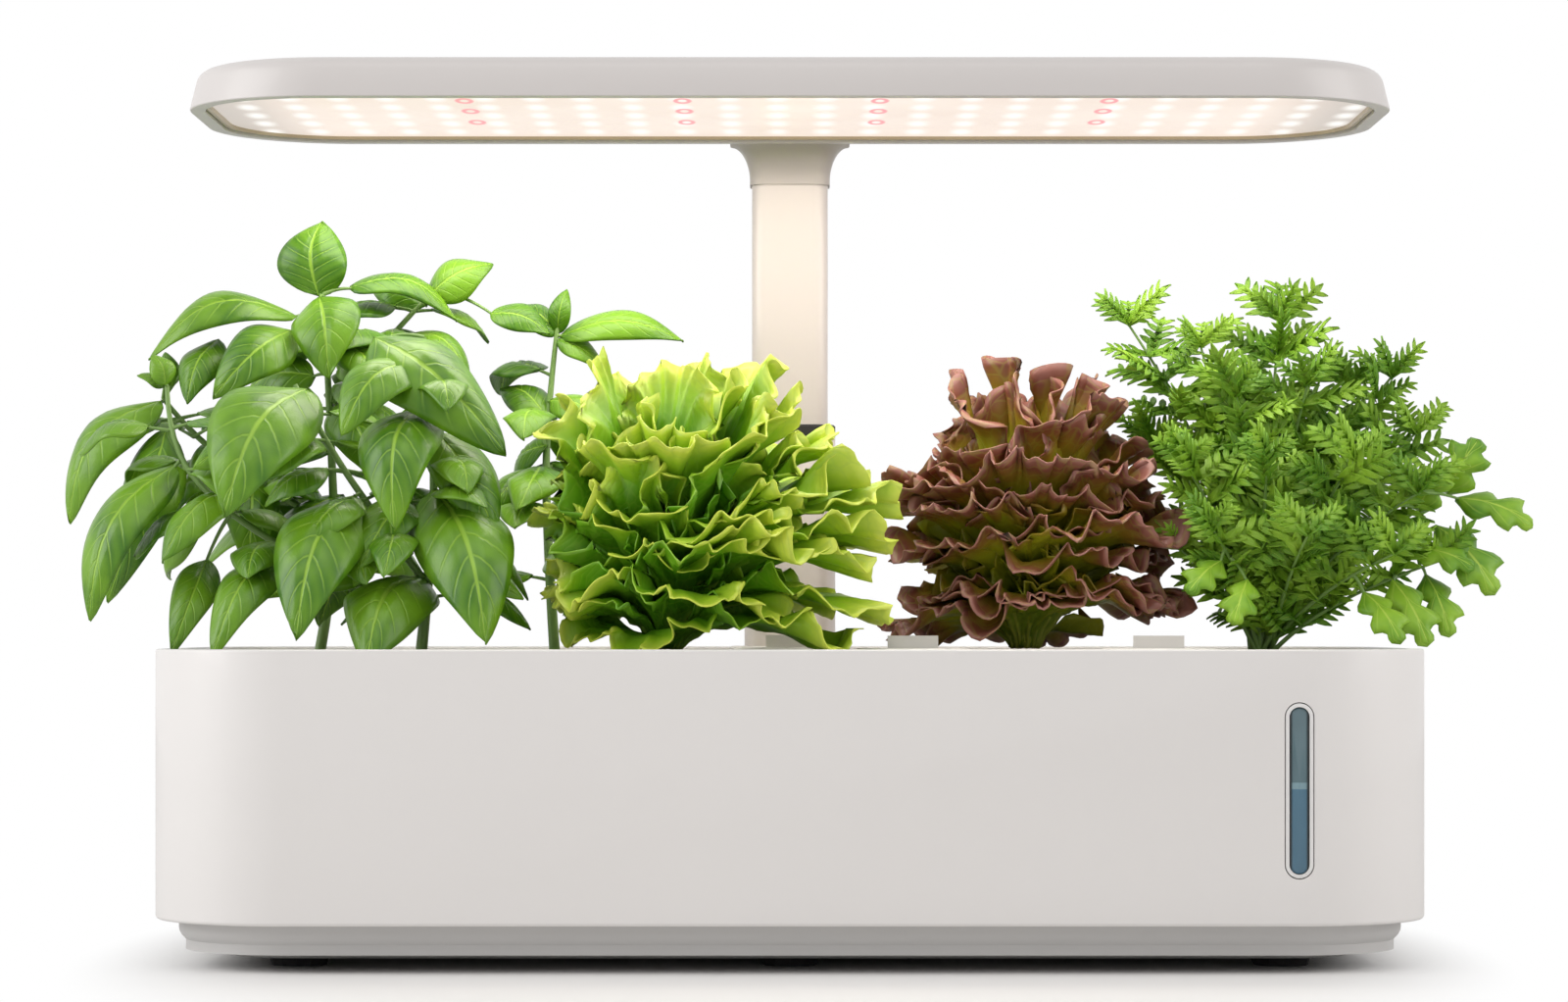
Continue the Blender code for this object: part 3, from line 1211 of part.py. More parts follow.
BASIL_SHORT_LEAF_SHARES = (
    ((0.0, 0.15, 0.96), (-0.18, 0.20, 1.04), 0.13),
    ((0.0, 0.14, 0.95), (0.38, 0.22, 0.97), 0.13),
    ((0.0, 0.15, 0.96), (0.03, 0.17, 1.08), 0.07),
    ((0.0, 0.14, 0.93), (0.14, 0.18, 0.86), 0.08),
    ((-0.03, 0.08, 0.62), (-0.14, 0.20, 0.56), 0.14),
    ((-0.03, 0.09, 0.70), (-0.18, 0.22, 0.80), 0.13),
    ((-0.02, 0.06, 0.42), (0.16, 0.20, 0.44), 0.14),
)


def root_piece(place):
    """The stem's foot, down in the sponge's hole."""
    foot = SPONGE_TOP - STEM_SOCKET_DEPTH + GAP
    taper = [(ROOT_RADIUS, foot), (ROOT_RADIUS, SPONGE_TOP), (ROOT_RADIUS / 2, SPONGE_TOP + 2 * ROOT_RADIUS)]
    return turned("tool", taper, "steel", place, SMALL_ROUND_STEPS // 2)


def nearest_on_runs(point, runs):
    """The place on the stems that lies closest to a leaf's base."""
    best = None
    for run in runs:
        for start, end in zip(run, run[1:]):
            along = end - start
            share = max(0.0, min(1.0, (point - start).dot(along) / along.length_squared))
            spot = start + along * share
            if best is None or (spot - point).length < (best - point).length:
                best = spot
    return best


def make_basil(name, place, height, stem_shares, leaf_shares):
    origin = Vector((place[0], place[1], SPONGE_TOP))
    pieces = []
    runs = []
    for number, run in enumerate(stem_shares):
        points = [origin + Vector(point) * height for point in run]
        if runs:
            points[0] = nearest_on_runs(points[0], runs)
        runs.append(points)
        thick = BASIL_STEM_RADIUS if number == 0 else BASIL_TWIG_RADIUS
        thin = BASIL_TWIG_RADIUS
        last = len(points) - 1
        radii = [thick + (thin - thick) * step / last for step in range(last + 1)]
        pieces.append(tube_piece(points, radii))
    for base, tip, width_share in leaf_shares:
        start = origin + Vector(base) * height
        end = origin + Vector(tip) * height
        pieces.append(basil_leaf(start, end, width_share * height))
        rise = leaf_normal(start, end) * (end - start).length * LEAF_ARCH_SHARE
        stalk = [nearest_on_runs(start, runs), bend(start, end, rise, STALK_REACH_SHARE)]
        pieces.append(tube_piece(stalk, [BASIL_TWIG_RADIUS] * 2, TWIG_SIDES))
    plant = root_piece(place)
    fuse_foliage(plant, pieces)
    plant.name = name
    plant.data.materials[0] = finish_material("basil_green")


# Across a lettuce leaf, as shares of its half width; along it, as shares of its run and full width
LETTUCE_ACROSS_SHARES = (-1.0, -0.5, 0.0, 0.5, 1.0)
LETTUCE_ALONG_SHARES = ((0.0, 0.10), (0.40, 0.44), (0.74, 0.92), (1.0, 0.72))


def lettuce_leaf(root, tip, bulge, width, phase):
    """A blade that fans out from a narrow rib into a frilled margin."""
    run = tip - root
    side = run.cross(Vector((0.0, 0.0, 1.0)))
    if side.length < OVERLAP:
        side = Vector((1.0, 0.0, 0.0))
    side.normalize()
    rings = []
    for share, width_share in LETTUCE_ALONG_SHARES:
        middle = bend(root, tip, bulge, share)
        heading = (run + bulge * (math.pi * math.cos(math.pi * share))).normalized()
        normal = side.cross(heading)
        half = width / 2 * width_share
        thick = normal * (LETTUCE_LEAF_THICKNESS / 2)
        upper = []
        lower = []
        for number, across in enumerate(LETTUCE_ACROSS_SHARES):
            ripple = math.cos(math.pi * number + phase) * LETTUCE_FRILL * share * abs(across)
            cup = across ** 2 * half * LETTUCE_CUP_SHARE
            droop = heading * (across ** 2 * half * LETTUCE_DROOP_SHARE * share)
            point = middle + side * (half * across) + normal * (cup + ripple) - droop
            upper.append(point + thick)
            lower.append(point - thick)
        rings.append(upper + lower[::-1])
    return lofted("tool", rings, "steel")


# How far a leaf's edges rise and fall back, as shares of its half width
LETTUCE_CUP_SHARE = 0.35
LETTUCE_DROOP_SHARE = 0.45

# How much of its room in the tier each leaf fills, and the heart's top against its foot
LETTUCE_FILL_SHARE = 0.84
HEART_TAPER_SHARE = 0.6
LETTUCE_ARCH_SHARE = 0.14
LETTUCE_BOW_SHARE = 0.12

# Tiers of a lettuce head: leaf count, reach and height as shares of the head's own, and turn of the tier
LETTUCE_TIER_SHARES = (
    (5, 1.0, 0.26, 0.5),
    (4, 0.86, 0.62, 0.2),
    (3, 0.48, 0.95, 0.35),
)


def make_lettuce(name, finish, place, height, reach_x, reach_y, shift_x, shift_y):
    middle = Vector((place[0] + shift_x, place[1] + shift_y, SPONGE_TOP))
    heart = Vector((place[0], place[1], SPONGE_TOP + HEART_RADIUS))
    heart_low = SPONGE_TOP + ROOT_RADIUS
    heart_high = SPONGE_TOP + HEART_HEIGHT
    heart_profile = [(HEART_RADIUS, heart_low), (HEART_RADIUS * HEART_TAPER_SHARE, heart_high)]
    pieces = [turned("tool", heart_profile, "steel", place, SMALL_ROUND_STEPS)]
    for tier, (count, reach_share, rise_share, turn) in enumerate(LETTUCE_TIER_SHARES):
        for step in range(count):
            angle = 2 * math.pi * (step + turn) / count
            spread = Vector((math.cos(angle), math.sin(angle), tier + 0.5))
            root = heart + spread * HEART_RADIUS / 2
            out = Vector((math.cos(angle) * reach_x, math.sin(angle) * reach_y, 0.0)) * reach_share
            tip = middle + out + Vector((0.0, 0.0, height * rise_share))
            bulge = Vector((0.0, 0.0, height * LETTUCE_ARCH_SHARE)) + out * LETTUCE_BOW_SHARE
            spacing = math.hypot(reach_x * math.sin(angle), reach_y * math.cos(angle)) * reach_share
            width = spacing * 2 * math.pi / count * LETTUCE_FILL_SHARE
            pieces.append(lettuce_leaf(root, tip, bulge, width, step * math.pi / 2))
    plant = root_piece(place)
    fuse_foliage(plant, pieces)
    plant.name = name
    plant.data.materials[0] = finish_material(finish)


# How far each pair of leaflets sits back from a joint of its stem, as a share of one run
HERB_PAIR_BACK_SHARE = 0.12

# Tips of the herb's stems in shares of its height
HERB_TIP_SHARES = (
    (-0.34, 0.25, 1.00),
    (-0.16, 0.22, 0.90),
    (0.06, 0.05, 1.00),
    (0.37, 0.02, 0.80),
    (0.60, -0.10, 0.52),
    (0.69, -0.22, 0.32),
    (-0.10, -0.22, 0.64),
    (0.18, -0.30, 0.60),
    (0.00, -0.50, 0.44),
    (0.32, -0.44, 0.34),
    (0.12, -0.62, 0.16),
    (-0.14, -0.40, 0.24),
)


# A pair of leaflets from tip to tip across the stem: place along the pair and width
HERB_PAIR_SHARES = ((-0.55, 1.0), (0.0, 0.3), (0.55, 1.0))


def herb_pair(middle, lift, across):
    """Two pointed leaflets that meet at the stem and rise towards their tips."""
    normal = across.cross(lift).normalized()
    shape = bmesh.new()
    rings = []
    for share, width_share in HERB_PAIR_SHARES:
        centre = middle + across * HERB_LEAF_LENGTH * share + lift * HERB_LEAF_LENGTH * abs(share) * 0.6
        half = normal * HERB_LEAF_WIDTH / 2 * width_share
        thick = lift * HERB_LEAF_THICKNESS / 2
        rings.append([shape.verts.new(centre + offset) for offset in (half, thick, -half, -thick)])
    tips = []
    for side in (-1, 1):
        tips.append(shape.verts.new(middle + across * HERB_LEAF_LENGTH * side + lift * HERB_LEAF_LENGTH * 0.4))
    for index in range(4):
        after = (index + 1) % 4
        shape.faces.new((tips[0], rings[0][after], rings[0][index]))
        shape.faces.new((tips[1], rings[-1][index], rings[-1][after]))
        for lower, upper in zip(rings, rings[1:]):
            shape.faces.new((lower[index], lower[after], upper[after], upper[index]))
    bmesh.ops.recalc_face_normals(shape, faces=shape.faces)
    mesh = bpy.data.meshes.new("leaflets")
    shape.to_mesh(mesh)
    shape.free()
    return add_object("tool", mesh, "steel")


def make_herb(name, place):
    """A tuft of thin stems that fan out of one crown, each with pairs of leaflets."""
    origin = Vector((place[0], place[1], SPONGE_TOP))
    crown_top = SPONGE_TOP + ROOT_RADIUS
    crown_foot = SPONGE_TOP - STEM_SOCKET_DEPTH + GAP
    crown_radius = ROOT_RADIUS + HERB_STEM_RADIUS
    crown = [(ROOT_RADIUS, crown_foot), (ROOT_RADIUS, SPONGE_TOP), (crown_radius, crown_top)]
    plant = turned("tool", crown, "steel", place, SMALL_ROUND_STEPS)
    pieces = []
    count = len(HERB_TIP_SHARES)
    for number, tip_shares in enumerate(HERB_TIP_SHARES):
        tip = origin + Vector(tip_shares) * HERB_HEIGHT
        heading = math.atan2(tip.y - origin.y, tip.x - origin.x) + number / count
        spread = ROOT_RADIUS * (0.35 + 0.5 * (number % 2))
        foot = Vector((math.cos(heading) * spread, math.sin(heading) * spread, ROOT_RADIUS / 2)) + origin
        run = tip - foot
        rise = Vector((-run.x, -run.y, run.length)).normalized() * run.length * 0.14
        points = [bend(foot, tip, rise, step / 3) for step in range(4)]
        pieces.append(tube_piece(points, [HERB_STEM_RADIUS] * 4, TWIG_SIDES))
        for pair in range(2):
            upper = points[3 - pair]
            lower = points[2 - pair]
            along = (upper - lower).normalized()
            across = along.cross(Vector((0.0, 1.0, 0.2))).normalized()
            turn = pair * 1.3 + number
            side = across * math.cos(turn) + along.cross(across) * math.sin(turn)
            pieces.append(herb_pair(upper.lerp(lower, HERB_PAIR_BACK_SHARE), along, side))
    fuse_foliage(plant, pieces)
    plant.name = name
    plant.data.materials[0] = finish_material("herb_green")


def make_plants(places):
    make_basil("basil_front", places[0], BASIL_FRONT_HEIGHT, BASIL_FRONT_STEM_SHARES, BASIL_FRONT_LEAF_SHARES)
    make_basil("basil_tall", places[4], BASIL_TALL_HEIGHT, BASIL_TALL_STEM_SHARES, BASIL_TALL_LEAF_SHARES)
    make_basil("basil_short", places[5], BASIL_SHORT_HEIGHT, BASIL_SHORT_STEM_SHARES, BASIL_SHORT_LEAF_SHARES)
    green = (GREEN_REACH_X, GREEN_REACH_Y, GREEN_SHIFT_X, GREEN_SHIFT_Y)
    make_lettuce("green_lettuce", "lettuce_green", places[1], GREEN_LETTUCE_HEIGHT, *green)
    red = (RED_REACH_X, RED_REACH_Y, RED_SHIFT_X, RED_SHIFT_Y)
    make_lettuce("red_lettuce", "lettuce_red", places[7], RED_LETTUCE_HEIGHT, *red)
    make_herb("fine_herb", places[8])


# What grows in each planted place, numbered along the front row and then the rear row
PLANTS = {
    1: "basil_front",
    2: "green_lettuce",
    5: "basil_tall",
    6: "basil_short",
    8: "red_lettuce",
    9: "fine_herb",
}


# Joint axes

def set_origin(name, point):
    """Moves an object's origin to a point on its joint's axis, with its surface left where it is."""
    item = bpy.data.objects[name]
    item.data.transform(Matrix.Translation(-point))
    item.location = point


def place_origins(places):
    for name in ("mast_tube", "lamp_housing", "heat_plate", "led_board", "lens_frame", "lamp_lens"):
        set_origin(name, Vector((0.0, MAST_Y, LAMP_BOTTOM)))
    for name, x in zip(BUTTONS, BUTTON_XS):
        set_origin(name, Vector((x, BUTTON_Y, DECK_TOP)))
    set_origin("pump_impeller", Vector((PUMP_X, PUMP_Y, TANK_INSIDE + GAP + PUMP_HEIGHT / 2)))
    set_origin("fill_lid", Vector((LID_X, *hinge_line())))
    set_origin("grow_deck", Vector((0.0, 0.0, DECK_BOTTOM)))
    for number, (x, y) in enumerate(places, start=1):
        names = [f"hole_cap_{number}"]
        if number in PLANTS:
            names = [f"grow_basket_{number}", f"grow_sponge_{number}", PLANTS[number]]
        for name in names:
            set_origin(name, Vector((x, y, POD_SEAT)))


def main():
    clear_scene()
    make_feet()
    make_tray()
    make_housing()
    make_tank()
    make_window()
    make_deck()
    make_service_cover()
    make_fill_lid()
    places = pod_places()
    for number, place in enumerate(places, start=1):
        if number in PLANTS:
            make_pod(number, place)
        else:
            make_hole_cap(number, place)
    make_mast()
    make_lamp_housing()
    make_lamp_inside()
    make_controls()
    make_pump()
    make_plants(places)
    place_origins(places)


main()
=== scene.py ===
"""Looks of the countertop hydroponic garden: moulded shells, the lit lamp and the plants."""
import math
import random

import bmesh
import bpy
import numpy as np
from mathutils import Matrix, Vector


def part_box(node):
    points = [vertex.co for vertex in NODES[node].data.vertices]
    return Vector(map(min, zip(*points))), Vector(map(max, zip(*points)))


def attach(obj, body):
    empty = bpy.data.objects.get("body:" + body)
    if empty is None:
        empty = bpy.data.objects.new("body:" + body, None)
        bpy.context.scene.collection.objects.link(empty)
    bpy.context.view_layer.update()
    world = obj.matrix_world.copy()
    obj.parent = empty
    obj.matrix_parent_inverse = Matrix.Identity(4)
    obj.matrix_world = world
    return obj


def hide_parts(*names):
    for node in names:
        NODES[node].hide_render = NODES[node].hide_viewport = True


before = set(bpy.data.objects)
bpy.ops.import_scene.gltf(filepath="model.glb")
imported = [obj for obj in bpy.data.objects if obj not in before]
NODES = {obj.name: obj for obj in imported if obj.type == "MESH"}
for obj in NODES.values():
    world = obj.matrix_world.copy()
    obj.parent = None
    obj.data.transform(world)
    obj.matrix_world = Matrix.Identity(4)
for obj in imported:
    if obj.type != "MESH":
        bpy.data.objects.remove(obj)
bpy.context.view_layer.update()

MM = 0.001
CORNER_SEGMENTS = 20
EDGE_SEGMENTS = 5
SMOOTH_ANGLE = 32
# How far off a level a point may lie, and what a full round keeps back so that it doesn't close on itself
NEAR = 0.02 * MM
ROUND_SLACK = 0.01 * MM
# How nearly an edge follows an axis, or a face looks along it, to be taken
EDGE_ALONG = 0.999
FACE_ALONG = 0.9
UP = Vector((0.0, 0.0, 1.0))


def low_of(node):
    return Vector(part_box(node)[0])


def high_of(node):
    return Vector(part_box(node)[1])


# Editing by selection

def pick(piece):
    """Selects one piece alone and makes it the active one."""
    bpy.ops.object.select_all(action="DESELECT")
    piece.select_set(True)
    bpy.context.view_layer.objects.active = piece


def open_edit(piece):
    pick(piece)
    bpy.ops.object.mode_set(mode="EDIT")


def close_edit():
    bpy.ops.object.mode_set(mode="OBJECT")


def select_faces(piece, wanted):
    bpy.ops.mesh.select_mode(type="FACE")
    bpy.ops.mesh.select_all(action="DESELECT")
    shape = bmesh.from_edit_mesh(piece.data)
    for face in shape.faces:
        face.select_set(wanted(face.calc_center_median(), face.normal))
    bmesh.update_edit_mesh(piece.data)


def select_edges(piece, wanted):
    bpy.ops.mesh.select_mode(type="EDGE")
    bpy.ops.mesh.select_all(action="DESELECT")
    shape = bmesh.from_edit_mesh(piece.data)
    for edge in shape.edges:
        if wanted(edge.verts[0].co, edge.verts[1].co):
            edge.select_set(True)
    bmesh.update_edit_mesh(piece.data)


def finish_piece(piece, name, angle=SMOOTH_ANGLE):
    """Smooth shading that keeps hard edges, and the piece's name."""
    close_edit()
    bpy.ops.object.shade_smooth_by_angle(angle=math.radians(angle))
    piece.name = name
    return piece


def block(low, high):
    """A box with its place in its mesh, open in edit mode."""
    bpy.ops.object.select_all(action="DESELECT")
    bpy.ops.mesh.primitive_cube_add(size=1, location=(Vector(low) + Vector(high)) / 2)
    piece = bpy.context.object
    piece.scale = Vector(high) - Vector(low)
    bpy.ops.object.transform_apply(location=True, rotation=False, scale=True)
    open_edit(piece)
    return piece


def rounded_block(low, high, radius, along=2, segments=CORNER_SEGMENTS):
    """A box whose four edges along one axis are rounded, open in edit mode."""
    piece = block(low, high)

    def runs_along(start, end):
        run = end - start
        return abs(run[along]) > EDGE_ALONG * run.length

    select_edges(piece, runs_along)
    bpy.ops.mesh.bevel(offset=radius, offset_type="OFFSET", segments=segments, affect="EDGES")
    return piece


def round_rim(piece, level, radius, axis=2, segments=EDGE_SEGMENTS):
    """Rounds the outline edges that lie at one level of an axis."""

    def at_level(start, end):
        return abs(start[axis] - level) < NEAR and abs(end[axis] - level) < NEAR

    select_edges(piece, at_level)
    bpy.ops.mesh.bevel(offset=radius, offset_type="OFFSET", segments=segments, affect="EDGES")


def select_end(piece, level, axis=2):
    """Selects the faces that lie flat at one level of an axis."""

    def at_level(middle, normal):
        return abs(middle[axis] - level) < NEAR and abs(normal[axis]) > FACE_ALONG

    select_faces(piece, at_level)


def resize_end(piece, level, inset, half_x, half_y, centre):
    """Draws the face at one level in by the same amount on every side."""
    select_end(piece, level)
    bpy.ops.transform.resize(
        value=((half_x - inset) / half_x, (half_y - inset) / half_y, 1.0),
        center_override=centre,
    )


def raise_selected(rise):
    """Extrudes the selected faces upwards, or down where the rise is negative."""
    bpy.ops.mesh.extrude_region_move(TRANSFORM_OT_translate={"value": (0, 0, rise)})


def hollow(piece, level, wall, depth):
    """Sinks a pocket into the face at one level; a negative depth sinks it into an underside."""
    select_end(piece, level)
    bpy.ops.mesh.inset(thickness=wall)
    raise_selected(-depth)


def apply_boolean(piece, cutter, operation="DIFFERENCE"):
    modifier = piece.modifiers.new("cut", "BOOLEAN")
    modifier.operation = operation
    modifier.object = cutter
    pick(piece)
    bpy.ops.object.modifier_apply(modifier=modifier.name)
    bpy.data.objects.remove(cutter, do_unlink=True)


def dress(piece, body, material, slot, *nodes):
    """Material, body and the CAD nodes that a piece stands for; the slot is not used."""
    piece.data.materials.clear()
    piece.data.materials.append(material)
    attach(piece, body)
    if nodes:
        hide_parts(*nodes)
    return piece


# Effects shared by the materials

def new_effect(name, inputs, outputs):
    group = bpy.data.node_groups.new(name, "ShaderNodeTree")
    for label, kind, value in inputs:
        socket = group.interface.new_socket(label, in_out="INPUT", socket_type=kind)
        socket.default_value = value
    for label, kind in outputs:
        group.interface.new_socket(label, in_out="OUTPUT", socket_type=kind)
    given = group.nodes.new("NodeGroupInput")
    result = group.nodes.new("NodeGroupOutput")
    return group, given, result


def fill(links, socket, value):
    """Links a socket to another one, or gives it a constant."""
    if isinstance(value, bpy.types.NodeSocket):
        links.new(value, socket)
    else:
        socket.default_value = value


# Sockets of a Mix node that mixes colours
MIX_SHARE, MIX_FIRST, MIX_SECOND = 0, 6, 7
MIX_RESULT = 2


def mix_colours(nodes, links, share, first, second):
    mix = nodes.new("ShaderNodeMix")
    mix.data_type = "RGBA"
    fill(links, mix.inputs[MIX_SHARE], share)
    fill(links, mix.inputs[MIX_FIRST], first)
    fill(links, mix.inputs[MIX_SECOND], second)
    return mix.outputs[MIX_RESULT]


def maths(nodes, links, operation, *values):
    node = nodes.new("ShaderNodeMath")
    node.operation = operation
    for socket, value in zip(node.inputs, values):
        fill(links, socket, value)
    return node.outputs[0]


def band(nodes, links, value, start, end):
    """0 at the start, 1 at the end, with a smooth step between."""
    node = nodes.new("ShaderNodeMapRange")
    node.interpolation_type = "SMOOTHSTEP"
    links.new(value, node.inputs["Value"])
    node.inputs["From Min"].default_value = start
    node.inputs["From Max"].default_value = end
    return node.outputs["Result"]


def split(nodes, links, vector):
    parts = nodes.new("ShaderNodeSeparateXYZ")
    links.new(vector, parts.inputs["Vector"])
    return parts.outputs


def noise_over(nodes, links, vector, scale, detail=2.0):
    noise = nodes.new("ShaderNodeTexNoise")
    links.new(vector, noise.inputs["Vector"])
    fill(links, noise.inputs["Scale"], scale)
    noise.inputs["Detail"].default_value = detail
    return noise.outputs["Fac"]


def emboss(nodes, links, shader, height, strength, distance):
    raised = nodes.new("ShaderNodeBump")
    raised.inputs["Strength"].default_value = strength
    raised.inputs["Distance"].default_value = distance
    links.new(height, raised.inputs["Height"])
    links.new(raised.outputs["Normal"], shader.inputs["Normal"])


# Shade drift, grain detail, how much the drift changes the roughness, and the depth of the grain
DRIFT_SCALE = 9.0
GRAIN_DETAIL = 3.0
ROUGHNESS_SWING = 0.12
GRAIN_DEPTH = 0.2 * MM
BLACK = (0.0, 0.0, 0.0, 1.0)
WHITE = (1.0, 1.0, 1.0, 1.0)


def make_moulded_grain():
    """Fine mould texture and slow shade drift of a plastic or lacquered surface."""
    inputs = [
        ("Colour", "NodeSocketColor", (0.8, 0.8, 0.8, 1.0)),
        ("Drift", "NodeSocketFloat", 0.02),
        ("Roughness", "NodeSocketFloat", 0.4),
        ("Grain Size", "NodeSocketFloat", 900.0),
    ]
    outputs = [("Colour", "NodeSocketColor"), ("Roughness", "NodeSocketFloat"), ("Height", "NodeSocketFloat")]
    group, given, result = new_effect("moulded_grain", inputs, outputs)
    nodes, links = group.nodes, group.links
    place = nodes.new("ShaderNodeTexCoord").outputs["Object"]
    slow = noise_over(nodes, links, place, DRIFT_SCALE)
    grain = noise_over(nodes, links, place, given.outputs["Grain Size"], GRAIN_DETAIL)
    shade = maths(nodes, links, "MULTIPLY", slow, given.outputs["Drift"])
    darker = mix_colours(nodes, links, shade, given.outputs["Colour"], BLACK)
    links.new(darker, result.inputs["Colour"])
    swing = maths(nodes, links, "MULTIPLY_ADD", slow, ROUGHNESS_SWING, -ROUGHNESS_SWING / 2)
    links.new(maths(nodes, links, "ADD", given.outputs["Roughness"], swing), result.inputs["Roughness"])
    links.new(grain, result.inputs["Height"])
    return group


MOULDED_GRAIN = make_moulded_grain()


def shader_of(name):
    """A new material, its nodes and links, and its shader."""
    material = bpy.data.materials.new(name)
    material.use_nodes = True
    return material, material.node_tree.nodes, material.node_tree.links, material.node_tree.nodes["Principled BSDF"]


def moulded(name, colour, roughness, drift=0.03, grain=900.0, bump=0.04, metallic=0.0, coat=0.0):
    """A plastic, rubber, lacquer or metal that differs from the others by its values only."""
    material, nodes, links, shader = shader_of(name)
    effect = nodes.new("ShaderNodeGroup")
    effect.node_tree = MOULDED_GRAIN
    effect.inputs["Colour"].default_value = (*colour, 1.0)
    effect.inputs["Drift"].default_value = drift
    effect.inputs["Roughness"].default_value = roughness
    effect.inputs["Grain Size"].default_value = grain
    links.new(effect.outputs["Colour"], shader.inputs["Base Color"])
    links.new(effect.outputs["Roughness"], shader.inputs["Roughness"])
    emboss(nodes, links, shader, effect.outputs["Height"], bump, GRAIN_DEPTH)
    shader.inputs["Metallic"].default_value = metallic
    shader.inputs["Coat Weight"].default_value = coat
    return material


shell_white = moulded("moulded_white", (0.80, 0.775, 0.76), 0.42, coat=0.15)
# The lamp head is the same white moulding as the base; its darker colour is painted shade for its less lit front.
lamp_shaded_white = moulded("lamp_shaded_white", (0.66, 0.625, 0.61), 0.42, coat=0.1)
tray_grey = moulded("tray_plastic", (0.56, 0.55, 0.54), 0.5, grain=1400.0, bump=0.1)
deck_white = moulded("deck_white", (0.66, 0.64, 0.61), 0.5)
mast_silver = moulded("mast_lacquer", (0.66, 0.60, 0.57), 0.36, metallic=0.1)
# The neck is white moulding too; its darker colour is painted shade of the lamp head above it.
neck_shaded_white = moulded("neck_shaded_white", (0.50, 0.455, 0.425), 0.4, metallic=0.1)
rubber_black = moulded("rubber_black", (0.02, 0.02, 0.02), 0.8, grain=500.0, bump=0.2)
tank_grey = moulded("tank_grey", (0.20, 0.20, 0.20), 0.5)
board_green = moulded("board_green", (0.05, 0.20, 0.10), 0.4)
pump_black = moulded("pump_black", (0.03, 0.03, 0.035), 0.5, bump=0.12)
plain_steel = moulded("plain_steel", (0.60, 0.60, 0.60), 0.3, grain=2000.0, metallic=1.0)
sheet_metal = moulded("sheet_metal", (0.70, 0.70, 0.70), 0.4, grain=2000.0, metallic=1.0)
board_white = moulded("board_white", (0.85, 0.85, 0.80), 0.5)
frame_cream = moulded("frame_cream", (0.52, 0.42, 0.27), 0.3, coat=0.3)
button_grey = moulded("button_grey", (0.50, 0.49, 0.48), 0.45)
pod_white = moulded("pod_white", (0.66, 0.65, 0.60), 0.5)
sponge_brown = moulded("sponge_brown", (0.075, 0.045, 0.025), 0.95, drift=0.5, grain=420.0, bump=1.0)

CAD_FINISHES = {
    "grow_deck": deck_white,
    "service_cover": deck_white,
    "fill_lid": deck_white,
    "water_tank": tank_grey,
    "window_seal": rubber_black,
    "control_board": board_green,
    "dc_inlet": rubber_black,
    "pump_housing": pump_black,
    "pump_strainer": pump_black,
    "pump_impeller": shell_white,
    "impeller_shaft": plain_steel,
    "heat_plate": sheet_metal,
    "led_board": board_white,
    "mast_bush": rubber_black,
    "light_button": button_grey,
    "timer_button": button_grey,
    "pump_button": button_grey,
    "hole_cap": deck_white,
    "grow_basket": pod_white,
    "grow_sponge": sponge_brown,
    "foot": rubber_black,
    "base_screw": plain_steel,
}
for node_name, node in NODES.items():
    for start, material in CAD_FINISHES.items():
        if node_name.startswith(start):
            node.data.materials.clear()
            node.data.materials.append(material)


# Shells of the base

HOUSING_LOW = low_of("outer_housing")
HOUSING_HIGH = high_of("outer_housing")
HOUSING_RADIUS = 45.0 * MM
HOUSING_WALL = 2.5 * MM
HOUSING_FOOT = 1.2 * MM
HOUSING_EDGE = 0.8 * MM
BASE_SCREWS = 4
WINDOW_LOW = low_of("window_bezel")
WINDOW_HIGH = high_of("window_bezel")
GAP = 0.3 * MM


def make_housing():
    piece = rounded_block(HOUSING_LOW, HOUSING_HIGH, HOUSING_RADIUS)
    hollow(piece, HOUSING_HIGH.z, HOUSING_WALL, HOUSING_HIGH.z - HOUSING_LOW.z - HOUSING_WALL)
    round_rim(piece, HOUSING_HIGH.z, HOUSING_EDGE)
    round_rim(piece, HOUSING_LOW.z, HOUSING_FOOT)
    close_edit()
    grow = Vector((GAP, 0.0, GAP))
    low = WINDOW_LOW - grow - Vector((0.0, HOUSING_WALL, 0.0))
    high = WINDOW_HIGH + grow + Vector((0.0, HOUSING_WALL, 0.0))
    cutter = rounded_block(low, high, (high.x - low.x) / 2 - ROUND_SLACK, along=1)
    close_edit()
    apply_boolean(piece, cutter)
    for number in range(1, BASE_SCREWS + 1):
        screw = low_of(f"base_screw_{number}")
        radius = (high_of(f"base_screw_{number}").x - screw.x) / 2
        place = (screw.x + radius, screw.y + radius, HOUSING_LOW.z)
        bpy.ops.mesh.primitive_cylinder_add(radius=radius + GAP, depth=4 * HOUSING_WALL, location=place)
        apply_boolean(piece, bpy.context.object)
    finish_piece(piece, "housing_shell")
    return dress(piece, "base", shell_white, "shell_white", "outer_housing")


TRAY_LOW = low_of("base_tray")
TRAY_HIGH = high_of("base_tray")
TRAY_FLARE = 26.0 * MM
TRAY_CURVE = 9.4 * MM
TRAY_SEGMENTS = 12
TRAY_WALL = 2.2 * MM
TRAY_FLOOR = 2.5 * MM


